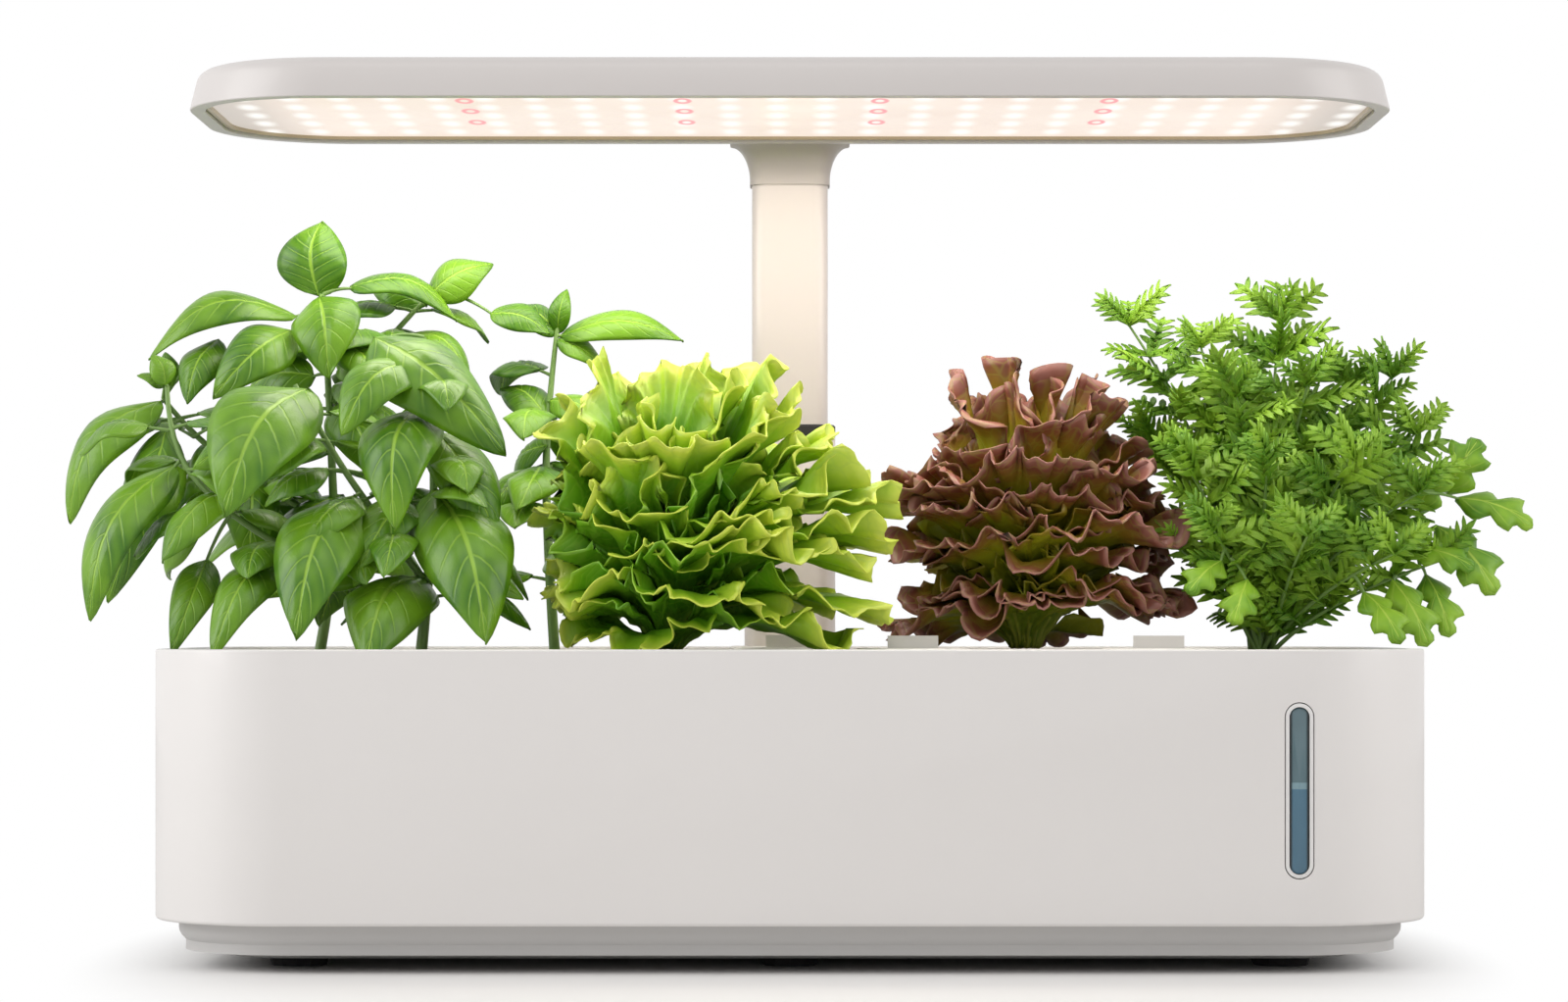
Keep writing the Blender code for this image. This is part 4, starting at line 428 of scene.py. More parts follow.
def make_tray():
    """The tray's side is a quarter ellipse, so it is rounded while stretched and then pressed flat."""
    stretch = TRAY_FLARE / TRAY_CURVE
    tall = TRAY_HIGH.z - TRAY_LOW.z
    high = Vector((TRAY_HIGH.x, TRAY_HIGH.y, TRAY_LOW.z + tall * stretch))
    radius = HOUSING_RADIUS - (HOUSING_HIGH.x - TRAY_HIGH.x)
    piece = rounded_block(TRAY_LOW, high, radius)
    round_rim(piece, TRAY_LOW.z, TRAY_FLARE, segments=TRAY_SEGMENTS)
    bpy.ops.mesh.select_all(action="SELECT")
    bpy.ops.transform.resize(value=(1.0, 1.0, 1.0 / stretch), center_override=(0.0, 0.0, TRAY_LOW.z))
    hollow(piece, TRAY_HIGH.z, TRAY_WALL, tall - TRAY_FLOOR)
    finish_piece(piece, "tray_shell")
    return dress(piece, "base", tray_grey, "tray_grey", "base_tray")


BEZEL_EDGE = 0.3 * MM
BEZEL_EDGE_SEGMENTS = 3
GLASS_EDGE = 0.9 * MM
GLASS_EDGE_SEGMENTS = 4
GLASS_GAP = GAP / 3


def make_window():
    """Clear slot window with a bright bezel; the water stands a little under its middle."""
    bezel_radius = (WINDOW_HIGH.x - WINDOW_LOW.x) / 2 - ROUND_SLACK
    bezel = rounded_block(WINDOW_LOW, WINDOW_HIGH, bezel_radius, along=1)
    round_rim(bezel, WINDOW_LOW.y, BEZEL_EDGE, axis=1, segments=BEZEL_EDGE_SEGMENTS)
    close_edit()
    glass_low = low_of("level_window")
    glass_high = high_of("level_window")
    grow = Vector((GLASS_GAP, 0.0, GLASS_GAP))
    reach = Vector((0.0, HOUSING_WALL, 0.0))
    cutter_low = glass_low - grow - reach
    cutter_high = glass_high + grow + reach
    cutter_radius = (cutter_high.x - cutter_low.x) / 2 - ROUND_SLACK
    cutter = rounded_block(cutter_low, cutter_high, cutter_radius, along=1)
    close_edit()
    apply_boolean(bezel, cutter)
    finish_piece(bezel, "window_ring")
    dress(bezel, "base", bezel_white, "shell_white", "window_bezel")
    glass_radius = (glass_high.x - glass_low.x) / 2 - ROUND_SLACK
    glass = rounded_block(glass_low, glass_high, glass_radius, along=1)
    round_rim(glass, glass_low.y, GLASS_EDGE, axis=1, segments=GLASS_EDGE_SEGMENTS)
    finish_piece(glass, "water_gauge")
    dress(glass, "base", gauge_blue, "window_blue", "level_window")


WINDOW_MIDDLE_X = (WINDOW_LOW.x + WINDOW_HIGH.x) / 2
WATER_LEVEL = 58.0 * MM
WATER_BLUR = 0.3 * MM
# Half the water line's thickness, outside and inside its soft edge
LINE_OUTER = 1.1 * MM
LINE_INNER = 0.9 * MM
# Where the dark outline begins and is full, from the window's middle
OUTLINE_START = 1.9 * MM
OUTLINE_FULL = 2.7 * MM
TINT_SCALE = 60.0
DRY_TINTS = ((0.070, 0.125, 0.145, 1.0), (0.115, 0.20, 0.23, 1.0))
WET_TINTS = ((0.045, 0.13, 0.20, 1.0), (0.075, 0.19, 0.28, 1.0))
LINE_TINT = (0.20, 0.33, 0.38, 1.0)
OUTLINE_TINT = (0.012, 0.02, 0.025, 1.0)


def make_gauge_blue():
    """Tinted window: darker outline, paler above the water line, blue below it."""
    material, nodes, links, shader = shader_of("gauge_blue")
    place = nodes.new("ShaderNodeTexCoord").outputs["Object"]
    parts = split(nodes, links, place)
    height = parts["Z"]
    wet = band(nodes, links, height, WATER_LEVEL, WATER_LEVEL - WATER_BLUR)
    drift = noise_over(nodes, links, place, TINT_SCALE)
    upper = mix_colours(nodes, links, drift, *DRY_TINTS)
    lower = mix_colours(nodes, links, drift, *WET_TINTS)
    body = mix_colours(nodes, links, wet, upper, lower)
    over = band(nodes, links, height, WATER_LEVEL + LINE_OUTER, WATER_LEVEL + LINE_INNER)
    under = band(nodes, links, height, WATER_LEVEL - LINE_OUTER, WATER_LEVEL - LINE_INNER)
    line = maths(nodes, links, "MULTIPLY", over, under)
    lit = mix_colours(nodes, links, line, body, LINE_TINT)
    off_middle = maths(nodes, links, "ABSOLUTE", maths(nodes, links, "SUBTRACT", parts["X"], WINDOW_MIDDLE_X))
    edge = band(nodes, links, off_middle, OUTLINE_START, OUTLINE_FULL)
    links.new(mix_colours(nodes, links, edge, lit, OUTLINE_TINT), shader.inputs["Base Color"])
    shader.inputs["Roughness"].default_value = 0.08
    shader.inputs["Coat Weight"].default_value = 0.6
    return material


gauge_blue = make_gauge_blue()
bezel_white = moulded("bezel_white", (0.80, 0.79, 0.78), 0.3, coat=0.3)

make_housing()
make_tray()
make_window()


# Lamp

LAMP_LOW = low_of("lamp_housing")
LAMP_HIGH = high_of("lamp_housing")
TUBE_LOW = low_of("mast_tube")
TUBE_HIGH = high_of("mast_tube")
LAMP_DEPTH = 132.0 * MM
LAMP_UNDERSIDE = LAMP_HIGH.z - 13.0 * MM
LAMP_REAR = LAMP_LOW.y + LAMP_DEPTH
LAMP_MIDDLE = Vector((0.0, LAMP_LOW.y + LAMP_DEPTH / 2, 0.0))
LAMP_RADIUS = 45.0 * MM
LAMP_DRAFT = 3.0 * MM
LAMP_CROWN = 4.0 * MM
LAMP_RIM = 5.0 * MM
LAMP_EDGE = 0.7 * MM
LAMP_SEAT = 10.4 * MM
LAMP_CORNER_SEGMENTS = CORNER_SEGMENTS + 4
LAMP_CROWN_SEGMENTS = 7
FINE_SEGMENTS = 3
MAST_RADIUS = 5.0 * MM
MAST_SEGMENTS = 8


def make_lamp_shell():
    low = Vector((LAMP_LOW.x, LAMP_LOW.y, LAMP_UNDERSIDE))
    high = Vector((LAMP_HIGH.x, LAMP_REAR, LAMP_HIGH.z))
    piece = rounded_block(low, high, LAMP_RADIUS, segments=LAMP_CORNER_SEGMENTS)
    centre = (0.0, LAMP_MIDDLE.y, LAMP_HIGH.z)
    resize_end(piece, LAMP_HIGH.z, LAMP_DRAFT, LAMP_HIGH.x, LAMP_DEPTH / 2, centre)
    round_rim(piece, LAMP_HIGH.z, LAMP_CROWN, segments=LAMP_CROWN_SEGMENTS)
    round_rim(piece, LAMP_UNDERSIDE, LAMP_EDGE, segments=FINE_SEGMENTS)
    hollow(piece, LAMP_UNDERSIDE, LAMP_RIM - LAMP_EDGE, -LAMP_SEAT)
    finish_piece(piece, "lamp_shell")
    return dress(piece, "lamp_head", lamp_shaded_white, "shell_white", "lamp_housing")


NECK_WALL = 0.7 * MM
NECK_FLARE = 6.8 * MM
NECK_FOOT = 1.5 * MM
NECK_STEPS = 10
# How far the neck runs into the lamp from below and from behind
NECK_SINK = 1.0 * MM
NECK_LAP = 1.5 * MM
NECK_CAP = 1.2 * MM
NECK_CAP_SEGMENTS = 4
NECK_SMOOTH_ANGLE = 40


def make_neck():
    """The neck flares from the tube's size to the lamp in a hollow curve, then runs up behind the lamp."""
    low_z = LAMP_LOW.z
    half_x = TUBE_HIGH.x + NECK_WALL
    front = TUBE_LOW.y - NECK_WALL
    rear = LAMP_HIGH.y
    low = Vector((-half_x, front, low_z))
    high = Vector((half_x, rear, low_z + NECK_FOOT))
    piece = rounded_block(low, high, MAST_RADIUS, segments=MAST_SEGMENTS)
    tall = LAMP_UNDERSIDE + NECK_SINK - high.z
    top_half_x = half_x + NECK_FLARE
    top_front = LAMP_REAR - NECK_LAP
    level = high.z
    now_half, now_front = half_x, front
    for step in range(1, NECK_STEPS + 1):
        turn = step / NECK_STEPS * math.pi / 2
        next_half = half_x + (top_half_x - half_x) * (1 - math.cos(turn))
        next_front = front + (top_front - front) * (1 - math.cos(turn))
        rise = tall * (math.sin(turn) - math.sin(turn - math.pi / 2 / NECK_STEPS))
        select_end(piece, level)
        raise_selected(rise)
        level += rise
        bpy.ops.transform.resize(
            value=(next_half / now_half, (rear - next_front) / (rear - now_front), 1.0),
            center_override=(0.0, rear, level),
        )
        now_half, now_front = next_half, next_front
    select_end(piece, level)
    cap = LAMP_HIGH.z - NECK_CAP
    raise_selected(cap - level)
    round_rim(piece, cap, NECK_CAP, segments=NECK_CAP_SEGMENTS)
    finish_piece(piece, "lamp_neck", angle=NECK_SMOOTH_ANGLE)
    return dress(piece, "lamp_head", neck_shaded_white, "shell_white")


# Rows of white diodes from front to back, the first one's place across and half the pitch between them
WHITE_ROWS = (-45.0 * MM, -22.0 * MM, 0.0, 22.0 * MM, 45.0 * MM)
WHITE_START = 4.0 * MM
WHITE_HALF_PITCH = 7.7 * MM
WHITE_SPOT = 2.6 * MM
PINK_COLUMNS = (-103.0 * MM, -34.0 * MM, 28.5 * MM, 101.0 * MM)
PINK_ROWS = (-39.0 * MM, -12.0 * MM, 18.0 * MM)
PINK_OUTER = 2.9 * MM
PINK_INNER = 1.4 * MM
PINK_BLUR = 0.5 * MM
SPOT_STRETCH = 2.4
# Where the lamp begins to dim towards its ends, and where it is dimmest
DIM_START = 150.0 * MM
DIM_END = 184.0 * MM
GLOW_SCALE = 26.0
GLOW_TINTS = ((0.80, 0.66, 0.58, 1.0), (0.92, 0.82, 0.74, 1.0))
DIM_TINT = (0.52, 0.47, 0.43, 1.0)
WHITE_TINT = (1.0, 0.985, 0.95, 1.0)
PINK_TINT = (0.90, 0.30, 0.34, 1.0)


def make_lamp_glow():
    """Opal lens: warm white, brighter over each diode, with rings of pink diodes in pairs."""
    material, nodes, links, shader = shader_of("lamp_glow")
    place = nodes.new("ShaderNodeTexCoord").outputs["Object"]
    parts = split(nodes, links, place)
    across = parts["X"]
    depth = maths(nodes, links, "SUBTRACT", parts["Y"], LAMP_MIDDLE.y)

    def dots(wrapped, rows_y, radius, soft):
        """1 inside the spots of each row along X; a spot is longer from front to back."""
        best = None
        for y in rows_y:
            off = maths(nodes, links, "DIVIDE", maths(nodes, links, "SUBTRACT", depth, y), SPOT_STRETCH)
            squares = maths(
                nodes, links, "ADD",
                maths(nodes, links, "POWER", wrapped, 2.0),
                maths(nodes, links, "POWER", maths(nodes, links, "ABSOLUTE", off), 2.0),
            )
            spot = band(nodes, links, maths(nodes, links, "SQRT", squares), radius + soft, radius - soft)
            best = spot if best is None else maths(nodes, links, "MAXIMUM", best, spot)
        return best

    from_start = maths(nodes, links, "ADD", across, WHITE_START)
    white_places = maths(nodes, links, "PINGPONG", from_start, WHITE_HALF_PITCH)
    white = dots(white_places, WHITE_ROWS, WHITE_SPOT, WHITE_SPOT)
    pink_places = None
    for x in PINK_COLUMNS:
        off = maths(nodes, links, "ABSOLUTE", maths(nodes, links, "SUBTRACT", across, x))
        pink_places = off if pink_places is None else maths(nodes, links, "MINIMUM", pink_places, off)
    pink_outer = dots(pink_places, PINK_ROWS, PINK_OUTER, PINK_BLUR)
    pink_inner = dots(pink_places, PINK_ROWS, PINK_INNER, PINK_BLUR)
    ring = maths(nodes, links, "SUBTRACT", pink_outer, pink_inner)
    ground = mix_colours(nodes, links, noise_over(nodes, links, place, GLOW_SCALE), *GLOW_TINTS)
    rim = band(nodes, links, maths(nodes, links, "ABSOLUTE", across), DIM_START, DIM_END)
    dimmed = mix_colours(nodes, links, rim, ground, DIM_TINT)
    lit = mix_colours(nodes, links, white, dimmed, WHITE_TINT)
    tinted = mix_colours(nodes, links, ring, lit, PINK_TINT)
    links.new(tinted, shader.inputs["Emission Color"])
    shader.inputs["Emission Strength"].default_value = 0.95
    shader.inputs["Base Color"].default_value = (0.12, 0.11, 0.10, 1.0)
    shader.inputs["Roughness"].default_value = 0.35
    return material


LENS_EDGE = 0.5 * MM
FRAME_EDGE = 0.35 * MM
FRAME_LIP = 1.5 * MM
CUT_PAST = 2.0 * MM


def make_lens():
    glow = make_lamp_glow()
    radius = LAMP_RADIUS - (LAMP_HIGH.x - high_of("lamp_lens").x)
    piece = rounded_block(low_of("lamp_lens"), high_of("lamp_lens"), radius)
    round_rim(piece, low_of("lamp_lens").z, LENS_EDGE, segments=FINE_SEGMENTS)
    finish_piece(piece, "lamp_diffuser")
    dress(piece, "lamp_head", glow, "lens_warm", "lamp_lens")
    low = low_of("lens_frame")
    high = high_of("lens_frame")
    inset = LAMP_RIM + GAP
    low = Vector((-LAMP_HIGH.x + inset, LAMP_LOW.y + inset, low.z))
    high = Vector((LAMP_HIGH.x - inset, LAMP_REAR - inset, high.z))
    ring = rounded_block(low, high, LAMP_RADIUS - inset)
    round_rim(ring, low.z, FRAME_EDGE, segments=FINE_SEGMENTS)
    close_edit()
    lip = Vector((FRAME_LIP, FRAME_LIP, -CUT_PAST))
    cutter = rounded_block(low + lip, high - lip, LAMP_RADIUS - inset - FRAME_LIP)
    close_edit()
    apply_boolean(ring, cutter)
    finish_piece(ring, "lens_ring")
    dress(ring, "lamp_head", frame_cream, "frame_cream", "lens_frame")


TUBE_WALL = 1.2 * MM
TUBE_POCKET = 20.0 * MM
SOCKET_WALL = 2.6 * MM
SOCKET_RIM = 2.0 * MM
SOCKET_EDGE = 0.3 * MM
SOCKET_EDGE_SEGMENTS = 2
SOCKET_FOOT = 2.5 * MM
SOCKET_FOOT_SEGMENTS = 6


def make_mast():
    tube = rounded_block(TUBE_LOW, TUBE_HIGH, MAST_RADIUS, segments=MAST_SEGMENTS)
    hollow(tube, TUBE_HIGH.z, TUBE_WALL, TUBE_POCKET)
    finish_piece(tube, "mast_pole")
    dress(tube, "lamp_head", mast_silver, "mast_silver", "mast_tube")
    low = low_of("mast_sleeve")
    high = high_of("mast_sleeve")
    bush_low = low_of("mast_bush")
    bush_high = high_of("mast_bush")
    sleeve_low = Vector((-bush_high.x, bush_low.y, low.z))
    sleeve_high = Vector((bush_high.x, bush_high.y, high.z))
    sleeve = rounded_block(sleeve_low, sleeve_high, MAST_RADIUS + SOCKET_WALL, segments=MAST_SEGMENTS)
    hollow(sleeve, high.z, SOCKET_RIM, high.z - low.z - SOCKET_FOOT)
    round_rim(sleeve, high.z, SOCKET_EDGE, segments=SOCKET_EDGE_SEGMENTS)
    close_edit()
    foot_high = Vector((high.x, high.y, low.z + SOCKET_FOOT))
    foot = rounded_block((-high.x, low.y, low.z), foot_high, MAST_RADIUS, segments=SOCKET_FOOT_SEGMENTS)
    close_edit()
    apply_boolean(sleeve, foot, "UNION")
    finish_piece(sleeve, "mast_socket")
    dress(sleeve, "base", mast_silver, "mast_silver", "mast_sleeve")


make_lamp_shell()
make_neck()
make_lens()
make_mast()


# Foliage

POD_FRONT_Y = -50.0 * MM
POD_REAR_Y = 12.0 * MM
SPONGE_TOP = high_of("grow_sponge_1").z
BASIL_COLUMNS = 12
BASIL_ROWS = 22
LETTUCE_COLUMNS = 64
LETTUCE_ROWS = 24
LEAF_THICKNESS = 0.5 * MM
LETTUCE_THICKNESS = 0.4 * MM
HERB_THICKNESS = 0.3 * MM
VEIN_DEPTH = 0.5 * MM
BASIL_VEINS = 7.0
BASIL_VEIN_SLOPE = 1.6
FACING = Vector((0.0, -0.72, 0.62))


def leaf_blank(name, columns, rows):
    """A flat grid with a UV map, from which every leaf of a kind is shaped."""
    bpy.ops.object.select_all(action="DESELECT")
    bpy.ops.mesh.primitive_grid_add(x_subdivisions=columns, y_subdivisions=rows, size=2, calc_uvs=True)
    blank = bpy.context.object
    blank.name = name
    return blank


def blank_places(blank):
    """Each point's share across, from -1 to 1, and along, from 0 to 1."""
    flat = np.zeros(len(blank.data.vertices) * 3)
    blank.data.vertices.foreach_get("co", flat)
    flat = flat.reshape(-1, 3)
    return flat[:, 0], (flat[:, 1] + 1) / 2


def copy_leaf(blank, name, places):
    """A copy of the blank with its own mesh, its points moved to the leaf's surface."""
    leaf = bpy.data.objects.new(name, blank.data.copy())
    bpy.context.collection.objects.link(leaf)
    leaf.data.vertices.foreach_set("co", places.astype(np.float32).ravel())
    leaf.data.update()
    return leaf


def join(pieces):
    """Makes one mesh of several pieces, in the first one."""
    bpy.ops.object.select_all(action="DESELECT")
    for piece in pieces:
        piece.select_set(True)
    bpy.context.view_layer.objects.active = pieces[0]
    bpy.ops.object.join()
    return bpy.context.object


def join_leaves(leaves, name, thickness):
    """One plant of many leaves, with a thickness on both sides of their surface."""
    plant = join(leaves)
    plant.name = name
    wall = plant.modifiers.new("thickness", "SOLIDIFY")
    wall.thickness = thickness
    wall.offset = 0.0
    bpy.ops.object.modifier_apply(modifier=wall.name)
    bpy.ops.object.shade_smooth()
    return plant


def stalks(name, runs, material, body, slot):
    """Round stems along runs of points, each with its radii, made one mesh."""
    shape = bpy.data.curves.new(name, "CURVE")
    shape.dimensions = "3D"
    shape.bevel_depth = 1.0
    shape.bevel_resolution = 2
    shape.use_fill_caps = True
    shape.resolution_u = 5
    for points, start_radius, end_radius in runs:
        line = shape.splines.new("NURBS")
        line.points.add(len(points) - 1)
        line.order_u = 3
        line.use_endpoint_u = True
        for number, point in enumerate(points):
            share = number / (len(points) - 1)
            line.points[number].co = (*point, 1.0)
            line.points[number].radius = start_radius + (end_radius - start_radius) * share
    piece = bpy.data.objects.new(name, shape)
    bpy.context.collection.objects.link(piece)
    pick(piece)
    bpy.ops.object.convert(target="MESH")
    piece = bpy.context.object
    bpy.ops.object.shade_smooth()
    return dress(piece, body, material, slot)


# Least and most arch and curl of a basil leaf, and its most lean to a side, as shares of its length
BASIL_ARCH = (0.12, 0.22)
BASIL_CURL = (0.05, 0.16)
BASIL_LEAN = 0.10
# Height of its pillows, its midrib's groove and its waves, as shares of its width
BASIL_PILLOW = 0.030
BASIL_GROOVE = 0.050
BASIL_WAVE = 0.035
# The groove's reach across, how much narrower the tip's side is, and how far a domed leaf draws in
GROOVE_REACH = 0.10
TIP_TAPER = 0.10
DOME_DRAW = 0.16


def basil_leaf(blank, base, tip, width, facing, dome, rng):
    """A pointed leaf that arches and curls, with pillows between its veins."""
    across, along = blank_places(blank)
    base = np.array(base)
    tip = np.array(tip)
    run = tip - base
    length = np.linalg.norm(run)
    heading = run / length
    side = np.cross(heading, np.array(facing))
    side /= np.linalg.norm(side)
    out = np.cross(side, heading)
    outline = np.sin(np.pi * along ** 0.80) ** 0.82 * (1.0 - TIP_TAPER * along)
    half = width / 2 * outline
    arch = length * rng.uniform(*BASIL_ARCH)
    curl = length * rng.uniform(*BASIL_CURL)
    lean = rng.uniform(-BASIL_LEAN, BASIL_LEAN) * length
    spine_out = arch * np.sin(np.pi * along) - curl * along ** 3
    vein = np.abs(np.sin(np.pi * (BASIL_VEINS * along - BASIL_VEIN_SLOPE * np.abs(across))))
    quiet = np.clip(1.0 - np.abs(across), 0.0, 1.0) ** 0.5 * np.sin(np.pi * along) ** 0.6
    pillow = BASIL_PILLOW * width * (vein ** 0.6) * quiet
    groove = BASIL_GROOVE * width * np.exp(-(across / GROOVE_REACH) ** 2) * outline
    wave = BASIL_WAVE * width * np.sin(9.0 * along + 2.0 * across + rng.uniform(0, 6.0)) * across ** 2
    bowl = dome * width * across ** 2 * outline
    rise = spine_out + pillow - groove + wave - bowl
    reach = half * (1.0 - DOME_DRAW * dome * np.abs(across))
    places = (
        base[None, :]
        + run[None, :] * along[:, None]
        + side[None, :] * (across * reach + lean * np.sin(np.pi * along))[:, None]
        + out[None, :] * rise[:, None]
    )
    return copy_leaf(blank, "basil_leaf", places)


def make_leaf_veins():
    """Midrib and slanting side veins on a leaf's own UV map, over random patches of painted shade, with a painted
    highlight on the pillows between the veins.
    """
    inputs = [
        ("Leaf", "NodeSocketColor", (0.1, 0.3, 0.05, 1.0)),
        ("Painted Shade", "NodeSocketColor", (0.03, 0.1, 0.02, 1.0)),
        ("Vein", "NodeSocketColor", (0.3, 0.5, 0.15, 1.0)),
        ("Veins", "NodeSocketFloat", 7.0),
        ("Slope", "NodeSocketFloat", 1.6),
        ("Patch Size", "NodeSocketFloat", 40.0),
    ]
    outputs = [("Colour", "NodeSocketColor"), ("Vein Mask", "NodeSocketFloat"), ("Height", "NodeSocketFloat")]
    group, given, result = new_effect("leaf_veins", inputs, outputs)
    nodes, links = group.nodes, group.links
    uv = nodes.new("ShaderNodeUVMap")
    parts = nodes.new("ShaderNodeSeparateXYZ")
    links.new(uv.outputs["UV"], parts.inputs["Vector"])
    centred = maths(nodes, links, "MULTIPLY_ADD", parts.outputs["X"], 2.0, -1.0)
    off = maths(nodes, links, "ABSOLUTE", centred)
    midrib = band(nodes, links, off, 0.075, 0.02)
    fan = maths(nodes, links, "MULTIPLY", off, given.outputs["Slope"])
    count = maths(nodes, links, "MULTIPLY", parts.outputs["Y"], given.outputs["Veins"])
    place = maths(nodes, links, "FRACT", maths(nodes, links, "SUBTRACT", count, fan))
    from_vein = maths(nodes, links, "MINIMUM", place, maths(nodes, links, "SUBTRACT", 1.0, place))
    side_vein = maths(nodes, links, "MULTIPLY", band(nodes, links, from_vein, 0.09, 0.02), 0.55)
    fade = band(nodes, links, off, 1.0, 0.4)
    veins = maths(nodes, links, "MAXIMUM", midrib, maths(nodes, links, "MULTIPLY", side_vein, fade))
    coords = nodes.new("ShaderNodeTexCoord")
    patch = nodes.new("ShaderNodeTexNoise")
    patch.inputs["Detail"].default_value = 3.0
    links.new(coords.outputs["Object"], patch.inputs["Vector"])
    links.new(given.outputs["Patch Size"], patch.inputs["Scale"])
    # Random patches of the leaf take its shaded colour: painted shade.
    painted_shade_share = band(nodes, links, patch.outputs["Fac"], 0.35, 0.65)
    ground = mix_colours(nodes, links, painted_shade_share, given.outputs["Painted Shade"], given.outputs["Leaf"])
    # Painted highlight: the middle of each pillow between side veins is lightened towards the leaf colour.
    pillow = band(nodes, links, from_vein, 0.0, 0.5)
    lit = mix_colours(nodes, links, maths(nodes, links, "MULTIPLY", pillow, 0.35), ground, given.outputs["Leaf"])
    links.new(mix_colours(nodes, links, veins, lit, given.outputs["Vein"]), result.inputs["Colour"])
    links.new(veins, result.inputs["Vein Mask"])
    cells = nodes.new("ShaderNodeTexNoise")
    cells.inputs["Scale"].default_value = 1300.0
    links.new(coords.outputs["Object"], cells.inputs["Vector"])
    fine = maths(nodes, links, "MULTIPLY", cells.outputs["Fac"], 0.25)
    links.new(maths(nodes, links, "SUBTRACT", fine, veins), result.inputs["Height"])
    return group


LEAF_VEINS = make_leaf_veins()


def leafy(name, leaf, painted_shade, vein, veins, slope, roughness, bump, patch=40.0, coat=0.0):
    material, nodes, links, shader = shader_of(name)
    effect = nodes.new("ShaderNodeGroup")
    effect.node_tree = LEAF_VEINS
    effect.inputs["Leaf"].default_value = (*leaf, 1.0)
    effect.inputs["Painted Shade"].default_value = (*painted_shade, 1.0)
    effect.inputs["Vein"].default_value = (*vein, 1.0)
    effect.inputs["Veins"].default_value = veins
    effect.inputs["Slope"].default_value = slope
    effect.inputs["Patch Size"].default_value = patch
    emboss(nodes, links, shader, effect.outputs["Height"], bump, VEIN_DEPTH)
    links.new(effect.outputs["Colour"], shader.inputs["Base Color"])
    shader.inputs["Roughness"].default_value = roughness
    shader.inputs["Coat Weight"].default_value = coat
    shader.inputs["Specular IOR Level"].default_value = 0.38
    return material


# The second colour is the leaf's shaded colour, laid in random patches as painted shade.
basil_green = leafy(
    "basil_leaf", (0.17, 0.36, 0.014), (0.045, 0.155, 0.005), (0.30, 0.52, 0.045),
    BASIL_VEINS, BASIL_VEIN_SLOPE, 0.34, 0.5, coat=0.06,
)
stem_green = moulded("stem_green", (0.22, 0.38, 0.09), 0.45, drift=0.3, grain=350.0, bump=0.3)

BASIL_ORIGINS = {
    "basil_tall": (Vector((-156 * MM, POD_REAR_Y, SPONGE_TOP)), 138.0 * MM),
    "basil_front": (Vector((-117 * MM, POD_FRONT_Y, SPONGE_TOP)), 110.0 * MM),
    "basil_short": (Vector((-78 * MM, POD_REAR_Y, SPONGE_TOP)), 112.0 * MM),
}
BASIL_BODIES = {"basil_tall": "pod_5", "basil_front": "pod_1", "basil_short": "pod_6"}
BASIL_STEM_SHARES = {
    "basil_tall": (
        ((0.0, 0.0, 0.0), (0.04, 0.0, 0.22), (0.03, 0.0, 0.44), (0.02, 0.0, 0.67), (0.01, -0.02, 0.86)),
        ((0.04, 0.0, 0.30), (-0.16, -0.02, 0.42), (-0.30, -0.04, 0.52), (-0.37, -0.04, 0.61)),
        ((0.03, 0.0, 0.60), (0.14, 0.07, 0.74), (0.26, 0.13, 0.88)),
    ),
    "basil_front": (
        ((0.0, 0.0, 0.0), (0.03, 0.0, 0.30), (0.04, 0.02, 0.56), (0.0, 0.10, 0.92)),
        ((0.02, 0.0, 0.20), (-0.16, -0.02, 0.44), (-0.28, 0.02, 0.62), (-0.37, 0.06, 0.78)),
        ((0.01, 0.0, 0.12), (-0.32, 0.0, 0.26), (-0.58, 0.03, 0.42), (-0.74, 0.08, 0.60), (-0.75, 0.12, 0.78)),
    ),
    "basil_short": (
        ((0.0, 0.0, 0.0), (-0.03, 0.05, 0.40), (-0.03, 0.10, 0.70), (0.0, 0.15, 0.98)),
    ),
}
